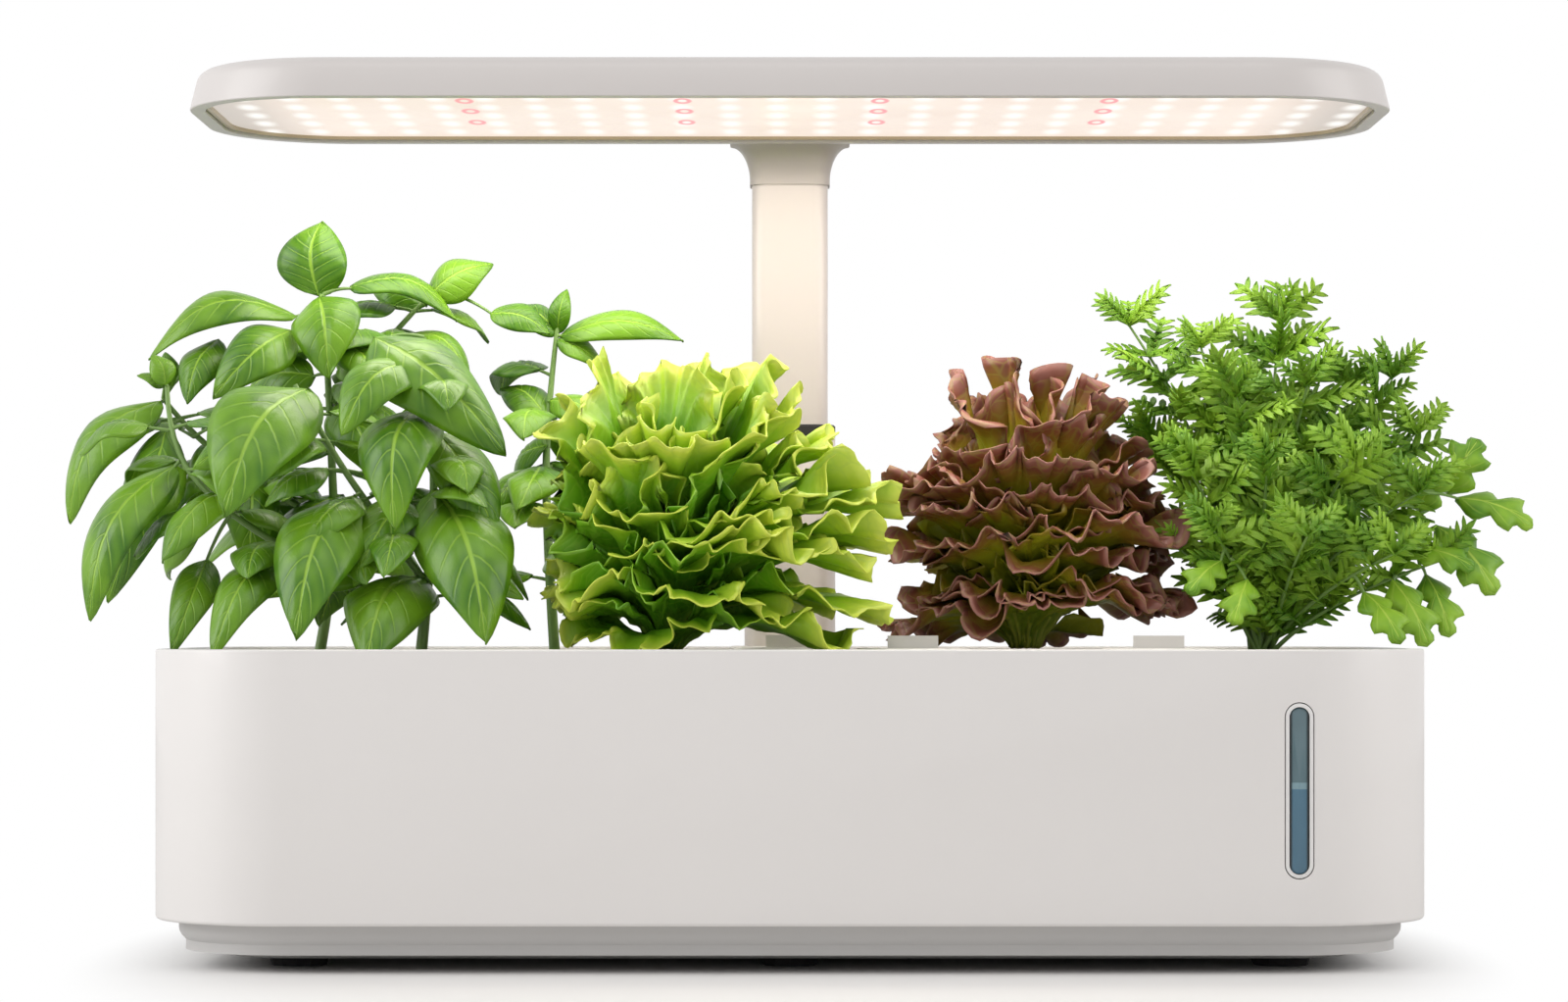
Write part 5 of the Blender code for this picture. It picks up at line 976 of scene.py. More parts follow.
# Base, tip and width of each leaf in millimetres
BASIL_LEAVES = {
    "basil_tall": (
        ((-156, 10, 216), (-156, 16, 242), 25), ((-155, 2, 215), (-151, -19, 190), 25),
        ((-163, 6, 209), (-210, -8, 196), 19), ((-188, 0, 201), (-197, -14, 181), 16),
        ((-164, 0, 204), (-187, -20, 183), 22), ((-204, 5, 186), (-206, 4, 197), 8),
        ((-206, 4, 186), (-214, 0, 190), 7), ((-207, 4, 181), (-237, -12, 143), 24),
        ((-205, 0, 172), (-222, -26, 118), 22), ((-146, 12, 219), (-110, 16, 212), 16),
        ((-121, 24, 217), (-100, 26, 229), 18), ((-122, 28, 214), (-142, 40, 224), 14),
        ((-152, 12, 164), (-180, 34, 162), 20), ((-152, 12, 170), (-126, 36, 172), 22),
        ((-152, 12, 134), (-198, 26, 132), 22), ((-152, 12, 136), (-122, 30, 124), 22),
        ((-150, 8, 196), (-124, 0, 186), 20), ((-158, 16, 190), (-186, 34, 182), 20),
        ((-176, 8, 168), (-200, 4, 146), 20), ((-148, 14, 150), (-168, -4, 130), 20),
        ((-178, 10, 160), (-176, -14, 128), 20), ((-148, 14, 182), (-134, -8, 160), 20),
        ((-100, 20, 211), (-80, 16, 205), 13), ((-128, 22, 204), (-106, 12, 190), 16),
    ),
    "basil_front": (
        ((-133, -38, 199), (-89, -62, 166), 32), ((-116, -46, 176), (-123, -81, 141), 27),
        ((-153, -50, 182), (-174, -90, 143), 34), ((-138, -54, 148), (-152, -93, 108), 29),
        ((-113, -50, 150), (-94, -88, 104), 33), ((-196, -42, 158), (-222, -66, 112), 23),
        ((-186, -42, 128), (-194, -66, 101), 15), ((-164, -50, 128), (-180, -82, 101), 20),
        ((-116, -50, 122), (-130, -88, 101), 30), ((-200, -38, 184), (-204, -36, 194), 9),
        ((-158, -44, 168), (-186, -66, 160), 20), ((-112, -48, 168), (-92, -66, 136), 22),
        ((-118, -48, 190), (-140, -72, 168), 22), ((-176, -46, 150), (-196, -76, 130), 20),
        ((-132, -48, 126), (-160, -62, 120), 22), ((-114, -46, 132), (-84, -66, 118), 20),
        ((-116, -44, 158), (-96, -24, 150), 20), ((-150, -44, 140), (-140, -20, 128), 20),
        ((-186, -44, 140), (-204, -22, 124), 18), ((-122, -44, 146), (-134, -74, 128), 20),
    ),
    "basil_short": (
        ((-78, 29, 205), (-97, 34, 214), 15), ((-77, 28, 204), (-36, 22, 204), 15),
        ((-78, 29, 205), (-75, 30, 220), 8), ((-78, 28, 203), (-62, 26, 194), 10),
        ((-81, 20, 167), (-94, 34, 160), 16), ((-81, 22, 176), (-98, 36, 188), 15),
        ((-80, 18, 145), (-60, 34, 147), 16), ((-80, 22, 182), (-62, 12, 176), 14),
        ((-80, 20, 158), (-98, 6, 148), 16), ((-79, 18, 132), (-64, -2, 122), 16),
    ),
}


def nearest_on(runs, point):
    best = None
    for run in runs:
        for start, end in zip(run, run[1:]):
            step = end - start
            share = max(0.0, min(1.0, (point - start).dot(step) / step.length_squared))
            place = start + step * share
            if best is None or (place - point).length < (best - point).length:
                best = place
    return best


def point_along(run, share):
    """The point at a share of the number of stretches of a run."""
    place = share * (len(run) - 1)
    index = min(int(place), len(run) - 2)
    return run[index].lerp(run[index + 1], place - index)


# Where pairs of further leaves stand on each stem, and how large they are
BASIL_FILL_SHARES = (0.18, 0.34, 0.50, 0.66, 0.82)
FILL_LIMIT_X = -66.0 * MM
FILL_LENGTHS = (22, 30)
FILL_WIDTHS = (16, 22)
FILL_STALK = 6.0 * MM
FILL_DROOP = Vector((0.0, 0.0, -0.55))
# Radii of main stems, side stems, their tips and the leaves' own stalks
STEM_RADIUS = 1.9 * MM
BRANCH_RADIUS = 1.3 * MM
STEM_TIP_RADIUS = 0.8 * MM
STALK_RADIUS = 0.75 * MM
FILL_STALK_RADIUS = 0.7 * MM
STALK_TIP_RADIUS = 0.45 * MM
# How far a stalk runs into its leaf
STALK_SINK = 0.04


def make_basils():
    blank = leaf_blank("basil_blank", BASIL_COLUMNS, BASIL_ROWS)
    rng = random.Random(7)
    for plant, leaves in BASIL_LEAVES.items():
        origin, height = BASIL_ORIGINS[plant]
        runs = [[origin + Vector(point) * height for point in run] for run in BASIL_STEM_SHARES[plant]]
        radii = [STEM_RADIUS] + [BRANCH_RADIUS] * (len(runs) - 1)
        stems = [(run, radius, STEM_TIP_RADIUS) for run, radius in zip(runs, radii)]
        made = []
        for base, tip, width in leaves:
            base = Vector(base) * MM
            tip = Vector(tip) * MM
            root = nearest_on(runs, base)
            middle = root.lerp(base, 0.5) + Vector((0.0, 0.0, (base - root).length * 0.15))
            stems.append(([root, middle, base.lerp(tip, STALK_SINK)], STALK_RADIUS, STALK_TIP_RADIUS))
            facing = FACING + Vector((rng.uniform(-0.25, 0.25), rng.uniform(-0.2, 0.2), rng.uniform(-0.15, 0.25)))
            made.append(basil_leaf(blank, base, tip, width * MM, facing, rng.uniform(0.10, 0.24), rng))
        for run in runs:
            for share in BASIL_FILL_SHARES:
                place = point_along(run, share)
                turn = rng.uniform(0, math.pi)
                for way in (0.0, math.pi):
                    outward = Vector((math.cos(turn + way), math.sin(turn + way), rng.uniform(-0.1, 0.5)))
                    long = rng.uniform(*FILL_LENGTHS) * MM
                    base = place + outward * FILL_STALK
                    tip = base + (outward + FILL_DROOP).normalized() * long
                    tip.z = max(tip.z, SPONGE_TOP + 4 * MM)
                    if tip.x > FILL_LIMIT_X:
                        continue
                    line = [place, place.lerp(base, 0.5), base.lerp(tip, STALK_SINK)]
                    stems.append((line, FILL_STALK_RADIUS, STALK_TIP_RADIUS))
                    facing = Vector((outward.x * 0.3, outward.y * 0.3 - 0.25, 1.0))
                    width = rng.uniform(*FILL_WIDTHS) * MM
                    made.append(basil_leaf(blank, base, tip, width, facing, rng.uniform(0.12, 0.2), rng))
        leaves_piece = join_leaves(made, f"{plant}_leaves", LEAF_THICKNESS)
        dress(leaves_piece, BASIL_BODIES[plant], basil_green, "basil_green", plant)
        stalks(f"{plant}_stems", stems, stem_green, BASIL_BODIES[plant], "basil_green")
    bpy.data.objects.remove(blank, do_unlink=True)


def smooth_step(values, start, end):
    share = np.clip((values - start) / (end - start), 0.0, 1.0)
    return share * share * (3.0 - 2.0 * share)


# Wavelength and height of the frills at a leaf's margin
FRILLS = ((31.0 * MM, 3.8 * MM), (13.5 * MM, 3.0 * MM), (6.0 * MM, 1.4 * MM))
TOOTH_PITCH = 7.6 * MM
TOOTH_DEPTH = 3.0 * MM

CAP_PLACES = ((39 * MM, POD_FRONT_Y), (117 * MM, POD_FRONT_Y), (0.0, POD_REAR_Y))
CAP_REACH = 23.0 * MM
CAP_RISE = 7.0 * MM
CAP_BLEND = 2.0 * MM
DECK_CLEARANCE = 1.2 * MM
# Over this height a leaf that sinks towards the deck is bent flat along it
DECK_SOFTNESS = 2.0 * MM


def above_deck(places):
    """Lifts what would lie in the deck or in a hole cap onto it."""
    floor = np.full(len(places), SPONGE_TOP + DECK_CLEARANCE)
    for x, y in CAP_PLACES:
        away = np.hypot(places[:, 0] - x, places[:, 1] - y)
        floor += CAP_RISE * (1 - smooth_step(away, CAP_REACH - CAP_BLEND, CAP_REACH + CAP_BLEND))
    over = places[:, 2] - floor
    bent = DECK_SOFTNESS * np.exp(np.minimum(over, DECK_SOFTNESS) / DECK_SOFTNESS - 1.0)
    places[:, 2] = floor + np.where(over > DECK_SOFTNESS, over, bent)
    return places


# Width of a leaf's foot as a share of the blade, and how far its sides turn round the tip
FOOT_SHARE = 0.16
TIP_TURN = 0.75
# Where the frills begin, as a share of the way from the midrib to the margin
FRILL_START = 0.50
TOOTH_START = 0.80
# How far the frills also slide along the margin and push out from it, as shares of their height
FRILL_SLIDE = 0.60
FRILL_PUSH = 0.40
# Height of blisters, cup and midrib as shares of the leaf's width
BLISTER = 0.022
CUP = 0.22
RIB = 0.03
RIB_REACH = 0.10


def lettuce_leaf(blank, root, tip, arch, width, rng):
    """A broad leaf on a spine that rises and leans out, with frills that grow to its margin."""
    across, along = blank_places(blank)
    root = np.array(root)
    tip = np.array(tip)
    flat = tip - root
    tall = flat[2]
    flat[2] = 0.0
    distance = np.linalg.norm(flat)
    away = flat / distance
    side = np.array((-away[1], away[0], 0.0))
    up = np.array(UP)
    length = math.hypot(distance, tall)
    blade = FOOT_SHARE + (1.0 - FOOT_SHARE) * smooth_step(along, 0.05, 0.62)
    turn = across * blade
    reach = along * np.cos(turn * TIP_TURN)
    middle = np.array((distance * 0.22, tall * 0.62 + arch * distance * 0.62))
    end = np.array((distance, tall))
    spine = 2 * (1 - reach)[:, None] * reach[:, None] * middle + (reach ** 2)[:, None] * end
    slope = 2 * (1 - reach)[:, None] * middle + 2 * reach[:, None] * (end - middle)
    slope /= np.linalg.norm(slope, axis=1)[:, None]
    heading = away[None, :] * slope[:, :1] + up[None, :] * slope[:, 1:]
    inward = up[None, :] * slope[:, :1] - away[None, :] * slope[:, 1:]
    half = width / 2 * blade
    margin = np.maximum(np.abs(across) * smooth_step(along, 0.05, 0.45), (along - 0.35) / 0.65)
    grow = smooth_step(margin, FRILL_START, 1.0)
    path = across * (width / 2 + 0.8 * (1 - along) * length)
    outward_side = across / np.maximum(np.abs(across) + along, 0.2)
    bend = np.zeros_like(across)
    slide = np.zeros_like(across)
    push = np.zeros_like(across)
    for pitch, tallness in FRILLS:
        phase = rng.uniform(0, 2 * math.pi)
        wave = 2 * math.pi * path / (pitch * rng.uniform(0.9, 1.15)) + phase
        wave = wave + 0.8 * np.sin(0.43 * wave + 2.0 * phase)
        swell = 0.72 + 0.55 * np.sin(0.37 * wave + 3.0 * phase)
        bend += tallness * swell * np.sin(wave + 1.2 * along)
        slide += tallness * swell * FRILL_SLIDE * np.cos(wave * 1.07 + 0.9)
        push += tallness * FRILL_PUSH * np.cos(1.3 * wave + phase)
    comb = math.pi * path / (TOOTH_PITCH * rng.uniform(0.85, 1.2)) + 0.7 * np.sin(path / (9.0 * MM) + phase)
    tooth = 0.55 - np.abs(np.sin(comb + rng.uniform(0, 3))) ** 0.8
    push += TOOTH_DEPTH * tooth * (0.6 + 0.5 * np.sin(path / (11.0 * MM) + phase)) * smooth_step(margin, TOOTH_START, 1.0)
    veins = np.abs(np.sin(math.pi * (5.0 * along - 2.2 * np.abs(across))))
    blister = width * BLISTER * veins * np.sin(math.pi * np.clip(along, 0, 1)) * (1 - 0.4 * np.abs(across))
    cup = width * CUP * across ** 2 * blade * (1 - 0.7 * along)
    rib = RIB * width * np.exp(-(across / RIB_REACH) ** 2) * (1 - 0.6 * along)
    rise = cup + blister - rib + grow * bend
    shift = half * across + grow * (slide + push * outward_side)
    stretch = grow * push * (1 - np.abs(outward_side))
    places = (
        root[None, :]
        + away[None, :] * spine[:, :1]
        + up[None, :] * spine[:, 1:]
        + side[None, :] * shift[:, None]
        + inward * rise[:, None]
        + heading * stretch[:, None]
    )
    return copy_leaf(blank, "lettuce_leaf", above_deck(places))


# Leaves in a tier, reach and tip height as shares, how far the spine arches, width in millimetres
LETTUCE_TIERS = (
    (9, 0.98, 0.06, 0.56, 54),
    (9, 1.03, 0.26, 0.52, 58),
    (9, 1.00, 0.50, 0.40, 60),
    (8, 0.86, 0.70, 0.24, 58),
    (7, 0.60, 0.84, 0.10, 52),
    (4, 0.26, 0.90, 0.02, 42),
)


# How much higher the head stands at its rear, and how far tips stray from their tier's height
TILT = 0.17
LEVEL_STRAY = 0.11
TURN_STRAY = 0.4
SPREADS = (0.80, 1.02)
WIDTHS = (0.72, 1.15)
HEART_RADIUS = 3.0 * MM
ROOT_RISE = 1.0 * MM
# Tiers that make the outer piece; the rest make the heart
OUTER_TIERS = 2
LETTUCE_SLOTS = {"green_lettuce": "lettuce_green", "red_lettuce": "lettuce_red"}


def make_lettuce(name, node, body, place, shift, reach_x, reach_y, height, material, seed):
    blank = leaf_blank("lettuce_blank", LETTUCE_COLUMNS, LETTUCE_ROWS)
    rng = random.Random(seed)
    root = Vector((place[0], place[1], SPONGE_TOP + ROOT_RISE))
    made = []
    for tier, (count, spread, level, arch, width) in enumerate(LETTUCE_TIERS):
        for number in range(count):
            stray = rng.uniform(-TURN_STRAY, TURN_STRAY)
            angle = (number + 0.5 * (tier % 2) + stray) / count * 2 * math.pi
            reach = spread * rng.uniform(*SPREADS)
            share = 0.25 + 0.75 * spread
            tip = Vector((
                root.x + shift[0] * share + reach_x * reach * math.cos(angle),
                root.y + shift[1] * share + reach_y * reach * math.sin(angle),
                root.z + height * (level * (1.0 + TILT * math.sin(angle)) + rng.uniform(-LEVEL_STRAY, LEVEL_STRAY)),
            ))
            start = root + Vector((math.cos(angle), math.sin(angle), 0.0)) * HEART_RADIUS
            wide = width * MM * rng.uniform(*WIDTHS)
            made.append(lettuce_leaf(blank, start, tip, arch, wide, rng))
    half = sum(tier[0] for tier in LETTUCE_TIERS[:OUTER_TIERS])
    for part, leaves in (("outer", made[:half]), ("heart", made[half:])):
        plant = join_leaves(leaves, f"{name}_{part}", LETTUCE_THICKNESS)
        dress(plant, body, material, LETTUCE_SLOTS[node], node)
    bpy.data.objects.remove(blank, do_unlink=True)


# How strongly the vein net shows beside the midrib, and both over the leaf's colour
NET_SHARE = 0.28
MARK_SHARE = 0.8
NET_BUMP = 0.35


def lettuce_material(name, stops, vein_colour, roughness=0.42):
    """Colour runs from the pale rib at the root to the margin, whose very edge is partly a painted highlight, with
    blotches and a fine vein net.
    """
    material, nodes, links, shader = shader_of(name)
    uv = nodes.new("ShaderNodeUVMap")
    parts = nodes.new("ShaderNodeSeparateXYZ")
    links.new(uv.outputs["UV"], parts.inputs["Vector"])
    coords = nodes.new("ShaderNodeTexCoord")
    blotch = nodes.new("ShaderNodeTexNoise")
    blotch.inputs["Scale"].default_value = 70.0
    blotch.inputs["Detail"].default_value = 4.0
    links.new(coords.outputs["Object"], blotch.inputs["Vector"])
    off = maths(nodes, links, "ABSOLUTE", maths(nodes, links, "MULTIPLY_ADD", parts.outputs["X"], 2.0, -1.0))
    side = maths(nodes, links, "MULTIPLY", off, maths(nodes, links, "MULTIPLY_ADD", parts.outputs["Y"], 0.5, 0.42))
    margin = maths(nodes, links, "MAXIMUM", parts.outputs["Y"], side)
    uneven = maths(nodes, links, "MULTIPLY_ADD", blotch.outputs["Fac"], 0.24, -0.12)
    ramp = nodes.new("ShaderNodeValToRGB")
    ramp.color_ramp.elements[0].position = stops[0][0]
    ramp.color_ramp.elements[0].color = (*stops[0][1], 1.0)
    ramp.color_ramp.elements[1].position = stops[-1][0]
    ramp.color_ramp.elements[1].color = (*stops[-1][1], 1.0)
    for place, colour in stops[1:-1]:
        element = ramp.color_ramp.elements.new(place)
        element.color = (*colour, 1.0)
    links.new(maths(nodes, links, "ADD", margin, uneven), ramp.inputs["Fac"])
    net = nodes.new("ShaderNodeTexVoronoi")
    net.feature = "DISTANCE_TO_EDGE"
    net.inputs["Scale"].default_value = 14.0
    links.new(uv.outputs["UV"], net.inputs["Vector"])
    vein = band(nodes, links, net.outputs["Distance"], 0.10, 0.02)
    rib = band(nodes, links, off, 0.10, 0.02)
    fade = band(nodes, links, parts.outputs["Y"], 0.95, 0.35)
    fine = maths(nodes, links, "MULTIPLY", vein, NET_SHARE)
    marks = maths(nodes, links, "MAXIMUM", fine, maths(nodes, links, "MULTIPLY", rib, fade))
    marked = maths(nodes, links, "MULTIPLY", marks, MARK_SHARE)
    colour = mix_colours(nodes, links, marked, ramp.outputs["Color"], vein_colour)
    links.new(colour, shader.inputs["Base Color"])
    emboss(nodes, links, shader, net.outputs["Distance"], NET_BUMP, VEIN_DEPTH)
    shader.inputs["Roughness"].default_value = roughness
    return material


# The last stop of each ramp, at the very margin, is partly the margin's own paler colour and partly a painted
# highlight.
lettuce_green = lettuce_material(
    "lettuce_green_leaf",
    (
        (0.0, (0.22, 0.38, 0.06)), (0.40, (0.070, 0.25, 0.006)), (0.72, (0.15, 0.38, 0.008)),
        (0.88, (0.34, 0.56, 0.020)), (1.0, (0.66, 0.76, 0.080)),
    ),
    (0.32, 0.52, 0.06, 1.0),
)
lettuce_red = lettuce_material(
    "lettuce_red_leaf",
    (
        (0.0, (0.24, 0.34, 0.03)), (0.40, (0.13, 0.21, 0.008)), (0.70, (0.34, 0.35, 0.010)),
        (0.83, (0.30, 0.19, 0.016)), (0.93, (0.21, 0.060, 0.035)), (1.0, (0.36, 0.15, 0.12)),
    ),
    (0.36, 0.40, 0.05, 1.0),
)
make_basils()
make_lettuce(
    "green_lettuce_leaves", "green_lettuce", "pod_2", (-39 * MM, POD_FRONT_Y), (17 * MM, 6 * MM),
    61 * MM, 44 * MM, 97 * MM, lettuce_green, 21,
)
make_lettuce(
    "red_lettuce_leaves", "red_lettuce", "pod_8", (78 * MM, POD_REAR_Y), (4 * MM, -8 * MM),
    53 * MM, 41 * MM, 99 * MM, lettuce_red, 34,
)


# Fine herb

HERB_ORIGIN = Vector((156 * MM, POD_REAR_Y, SPONGE_TOP))
# Tip of each stem in millimetres, the share of it that carries fronds, and how long these are
HERB_STEMS = (
    ((113, 18, 207), 0.50, 15), ((136, 8, 199), 0.62, 14), ((163, 14, 208), 0.62, 17),
    ((186, 20, 186), 0.60, 15), ((199, 10, 189), 0.55, 15), ((206, 4, 170), 0.60, 15),
    ((146, -8, 182), 0.70, 16), ((170, -2, 186), 0.70, 16), ((150, 30, 186), 0.60, 15),
    ((178, 32, 178), 0.60, 15), ((128, -18, 160), 0.70, 15), ((154, -28, 160), 0.78, 16),
    ((182, -26, 160), 0.78, 16), ((204, -18, 150), 0.75, 16), ((121, 22, 168), 0.60, 14),
    ((136, -30, 138), 0.80, 14), ((166, -36, 136), 0.85, 15), ((194, -32, 130), 0.80, 15),
    ((208, 24, 150), 0.65, 15), ((128, -4, 132), 0.75, 13), ((212, -10, 128), 0.70, 14),
)
# Base, tip and width of the broad lobed leaves at the right
HERB_BROAD = (
    ((216, 0, 150), (226, -4, 168), 18), ((219, 0, 149), (243, -8, 140), 17),
    ((212, -2, 140), (230, -14, 118), 20), ((206, -4, 144), (214, -8, 160), 15),
    ((204, -8, 132), (222, -18, 126), 15), ((196, -14, 122), (206, -26, 101), 17),
    ((186, -18, 118), (196, -34, 102), 15), ((208, -6, 124), (214, -20, 104), 15),
    ((140, -22, 128), (128, -34, 118), 14), ((148, -24, 122), (142, -38, 108), 14),
)


def make_leaflet():
    """A narrow folded leaflet of few faces, because it repeats hundreds of times."""
    leaf = leaf_blank("herb_leaflet", 2, 3)
    across, along = blank_places(leaf)
    outline = np.interp(along, (0.0, 0.34, 0.67, 1.0), (0.07, 0.155, 0.13, 0.02))
    places = np.zeros((len(across), 3))
    places[:, 0] = across * outline
    places[:, 1] = along
    places[:, 2] = 0.10 * np.abs(across) - 0.22 * along ** 2
    leaf.data.vertices.foreach_set("co", places.astype(np.float32).ravel())
    leaf.data.update()
    return leaf


def copy_to(shape, heading, up, place, size):
    """A copy with its own mesh: its length along a heading, scaled and put in its place."""
    along = heading.normalized()
    across = along.cross(up).normalized()
    out = across.cross(along)
    copy = bpy.data.objects.new(shape.name, shape.data.copy())
    bpy.context.collection.objects.link(copy)
    flat = np.zeros(len(copy.data.vertices) * 3)
    copy.data.vertices.foreach_get("co", flat)
    turn = np.array((across, along, out))
    moved = flat.reshape(-1, 3) @ turn * size + np.array(place)
    copy.data.vertices.foreach_set("co", moved.astype(np.float32).ravel())
    copy.data.update()
    return copy


def make_frond(leaflet):
    """A feathery frond of unit length: leaflet pairs that shrink to its tip."""
    parts = []
    pairs = 4
    for number in range(pairs):
        share = 0.26 + 0.56 * number / (pairs - 1)
        size = 0.46 * (1.0 - 0.45 * share)
        for side in (-1, 1):
            place = Vector((0.0, share, -0.10 * share ** 2))
            parts.append(copy_to(leaflet, Vector((side * 0.80, 0.66, 0.05)), UP, place, size))
    parts.append(copy_to(leaflet, Vector((0.0, 1.0, -0.15)), UP, Vector((0.0, 0.70, -0.05)), 0.42))
    parts.append(copy_to(leaflet, Vector((0.0, 1.0, -0.05)), UP, Vector((0.0, 0.0, 0.0)), 0.80))
    return join(parts)


def broad_leaf(blank, base, tip, width):
    """A lobed leaf with rounded teeth, like parsley."""
    across, along = blank_places(blank)
    base = np.array(base)
    run = np.array(tip) - base
    length = np.linalg.norm(run)
    heading = run / length
    side = np.cross(heading, np.array(FACING))
    side /= np.linalg.norm(side)
    out = np.cross(side, heading)
    lobes = 0.74 + 0.26 * np.cos(2 * math.pi * (2.6 * along - 0.55)) + 0.07 * np.cos(2 * math.pi * 8.0 * along)
    outline = np.sin(math.pi * along ** 0.9) ** 0.55 * lobes
    sweep = 0.16 * length * np.abs(across) * lobes * np.sin(math.pi * along)
    rise = width * (0.10 * np.abs(across) - 0.20 * across ** 2) + 0.12 * length * np.sin(math.pi * along)
    places = (
        base[None, :]
        + run[None, :] * along[:, None]
        + heading[None, :] * sweep[:, None]
        + side[None, :] * (across * width / 2 * outline)[:, None]
        + out[None, :] * rise[:, None]
    )
    return copy_leaf(blank, "broad_leaf", places)


def make_herb():
    leaflet = make_leaflet()
    frond = make_frond(leaflet)
    rng = random.Random(5)
    runs = []
    fronds = []
    for tip, leafy_share, frond_length in HERB_STEMS:
        end = Vector(tip) * MM
        start = HERB_ORIGIN + Vector((rng.uniform(-4, 4), rng.uniform(-4, 4), -1.0)) * MM
        rise = end - start
        bow = Vector((rise.x * 0.30, rise.y * 0.30, rise.z * 0.60))
        steps = 8
        points = []
        for step in range(steps + 1):
            share = step / steps
            points.append(start * (1 - share) ** 2 + (start + bow) * (2 * share * (1 - share)) + end * share ** 2)
        runs.append((points, 0.85 * MM, 0.4 * MM))
        whorls = max(4, round(rise.length * leafy_share / (10.5 * MM)))
        for whorl in range(whorls + 1):
            share = 1.0 - leafy_share * (1 - whorl / whorls)
            index = min(int(share * steps), steps - 1)
            last = whorl == whorls
            slip = 0.0 if last else rng.uniform(-0.3, 0.3)
            place = points[index].lerp(points[index + 1], share * steps - index + slip)
            spokes = 5 if last else 3
            for spoke in range(spokes):
                turn = whorl * 1.1 + spoke * 2 * math.pi / spokes + rng.uniform(-0.3, 0.3)
                lift = 0.85 if last else rng.uniform(0.2, 1.1)
                outward = Vector((math.cos(turn), 0.75 * math.sin(turn), lift))
                size = frond_length * MM * rng.uniform(0.9, 1.5) * (0.8 if last else 1.0)
                level = Vector((rng.uniform(-0.5, 0.5), -0.9, rng.uniform(0.2, 1.0)))
                fronds.append(copy_to(frond, outward, level, place, size))
    blank = leaf_blank("broad_blank", 8, 14)
    for base, tip, width in HERB_BROAD:
        base = Vector(base) * MM
        tip = Vector(tip) * MM
        fronds.append(broad_leaf(blank, base, tip, width * MM))
        root = nearest_on([run[0] for run in runs[:len(HERB_STEMS)]], base)
        middle = root.lerp(base, 0.5) + Vector((0.0, 0.0, 1.5 * MM))
        runs.append(([root, middle, base.lerp(tip, 0.05)], 0.6 * MM, 0.45 * MM))
    for shape in (leaflet, frond, blank):
        bpy.data.objects.remove(shape, do_unlink=True)
    plant = join_leaves(fronds, "fine_herb_leaves", HERB_THICKNESS)
    dress(plant, "pod_9", herb_green, "herb_green", "fine_herb")
    stalks("fine_herb_stems", runs, stem_green, "pod_9", "herb_green")


# The second colour is the herb's shaded colour, laid in random patches as painted shade.
herb_green = leafy(
    "herb_leaf", (0.28, 0.50, 0.030), (0.090, 0.26, 0.010), (0.42, 0.60, 0.07),
    3.0, 1.2, 0.45, 0.2, patch=60.0,
)
make_herb()


# Camera, light and stage

CAMERA_PLACE = (0.0, -1.400, 0.107)
CAMERA_LENS = 97.72
CAMERA_SENSOR = 36.0
CAMERA_SHIFT = (-0.00375, 0.0794)


def make_camera():
    lens = bpy.data.cameras.new("photo_camera")
    lens.lens = CAMERA_LENS
    lens.sensor_width = CAMERA_SENSOR
    lens.shift_x, lens.shift_y = CAMERA_SHIFT
    camera = bpy.data.objects.new("photo_camera", lens)
    camera.location = CAMERA_PLACE
    camera.rotation_euler = (math.radians(90), 0.0, 0.0)
    bpy.context.collection.objects.link(camera)
    bpy.context.scene.camera = camera


def softbox(name, place, target, width, height, power, colour):
    lamp = bpy.data.lights.new(name, "AREA")
    lamp.shape = "RECTANGLE"
    lamp.size = width
    lamp.size_y = height
    lamp.energy = power
    lamp.color = colour
    piece = bpy.data.objects.new(name, lamp)
    piece.location = place
    piece.rotation_euler = (Vector(target) - Vector(place)).to_track_quat("-Z", "Y").to_euler()
    bpy.context.collection.objects.link(piece)


def make_world():
    world = bpy.data.worlds.new("studio")
    bpy.context.scene.world = world
    world.use_nodes = True
    nodes, links = world.node_tree.nodes, world.node_tree.links
    paths = nodes.new("ShaderNodeLightPath")
    seen = maths(nodes, links, "MAXIMUM", paths.outputs["Is Camera Ray"], paths.outputs["Is Glossy Ray"])
    seen = maths(nodes, links, "MAXIMUM", seen, paths.outputs["Is Transmission Ray"])
    strength = maths(nodes, links, "MULTIPLY_ADD", seen, 1.0 - WORLD_LIGHT, WORLD_LIGHT)
    background = nodes["Background"]
    background.inputs["Color"].default_value = WHITE
    links.new(strength, background.inputs["Strength"])


WORLD_LIGHT = 0.38
FLOOR_SIZE = 12.0
# Half the length and depth of the patch of floor that shows the shadow, and where it fades, as shares of it
SHADOW_HALF_X = 215.0 * MM
SHADOW_HALF_Y = 260.0 * MM
FADE_START = 0.35
FADE_END = 1.35


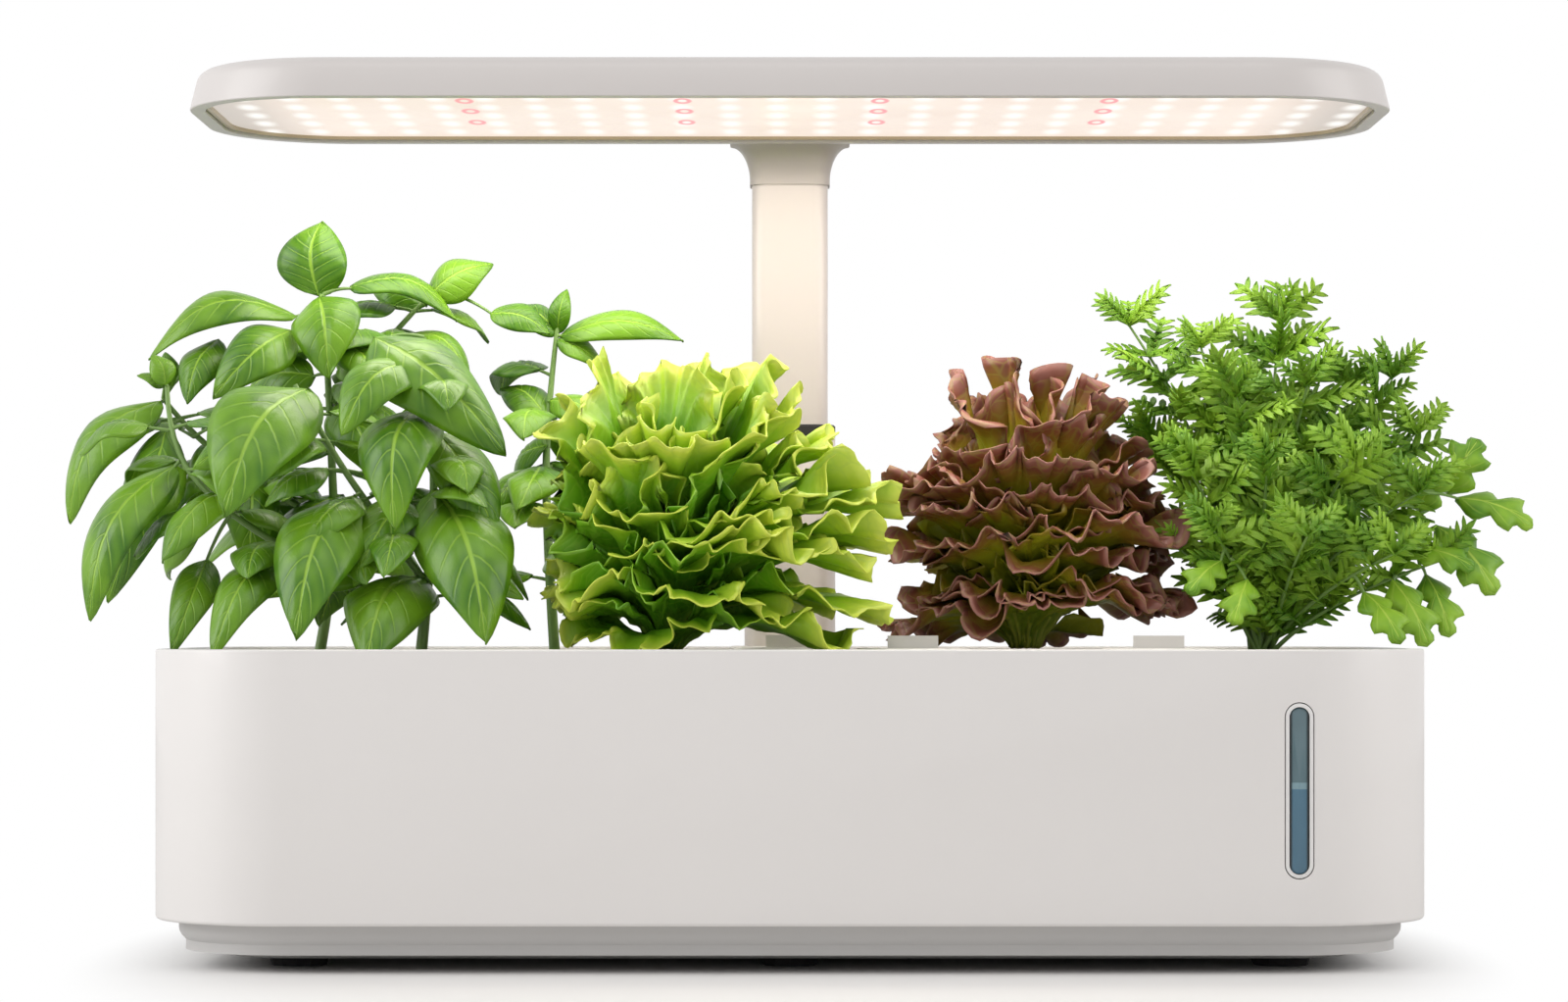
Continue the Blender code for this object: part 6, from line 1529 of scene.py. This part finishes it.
def make_floor():
    """White floor that shows the shadow near the object and turns to the white backdrop further out."""
    bpy.ops.object.select_all(action="DESELECT")
    bpy.ops.mesh.primitive_plane_add(size=FLOOR_SIZE, location=(0.0, 0.0, 0.0))
    floor = bpy.context.object
    floor.name = "studio_floor"
    material, nodes, links, shader = shader_of("studio_floor")
    parts = split(nodes, links, nodes.new("ShaderNodeTexCoord").outputs["Object"])
    over_x = maths(nodes, links, "ABSOLUTE", maths(nodes, links, "DIVIDE", parts["X"], SHADOW_HALF_X))
    over_y = maths(nodes, links, "ABSOLUTE", maths(nodes, links, "DIVIDE", parts["Y"], SHADOW_HALF_Y))
    squared_x = maths(nodes, links, "POWER", over_x, 4.0)
    reach = maths(nodes, links, "ADD", squared_x, maths(nodes, links, "POWER", over_y, 2.0))
    far = band(nodes, links, reach, FADE_START, FADE_END)
    paths = nodes.new("ShaderNodeLightPath")
    white = maths(nodes, links, "MULTIPLY", far, paths.outputs["Is Camera Ray"])
    glow = nodes.new("ShaderNodeEmission")
    glow.inputs["Color"].default_value = WHITE
    blend = nodes.new("ShaderNodeMixShader")
    links.new(white, blend.inputs["Fac"])
    links.new(shader.outputs["BSDF"], blend.inputs[1])
    links.new(glow.outputs["Emission"], blend.inputs[2])
    links.new(blend.outputs["Shader"], nodes["Material Output"].inputs["Surface"])
    shader.inputs["Base Color"].default_value = (0.80, 0.79, 0.78, 1.0)
    shader.inputs["Roughness"].default_value = 0.6
    floor.data.materials.append(material)


make_camera()
softbox("left_softbox", (-1.25, -0.45, 0.70), (-0.1, 0.0, 0.15), 0.9, 0.9, 10.5, (1.0, 0.995, 0.99))
softbox("right_softbox", (1.30, -0.40, 0.70), (0.1, 0.0, 0.15), 0.9, 0.9, 7.5, (1.0, 0.98, 0.965))
softbox("top_softbox", (0.0, -0.75, 1.25), (0.0, 0.0, 0.1), 1.0, 0.7, 3.0, (1.0, 0.99, 0.98))
GROW_LIGHT_PLACE = (0.0, LAMP_MIDDLE.y, LAMP_UNDERSIDE - 1.5 * MM)
softbox("grow_light", GROW_LIGHT_PLACE, (0.0, LAMP_MIDDLE.y, 0.0), 0.32, 0.07, 0.36, (1.0, 0.95, 0.86))
make_world()
make_floor()

bpy.context.scene.view_settings.view_transform = "Standard"
bpy.context.view_layer.update()
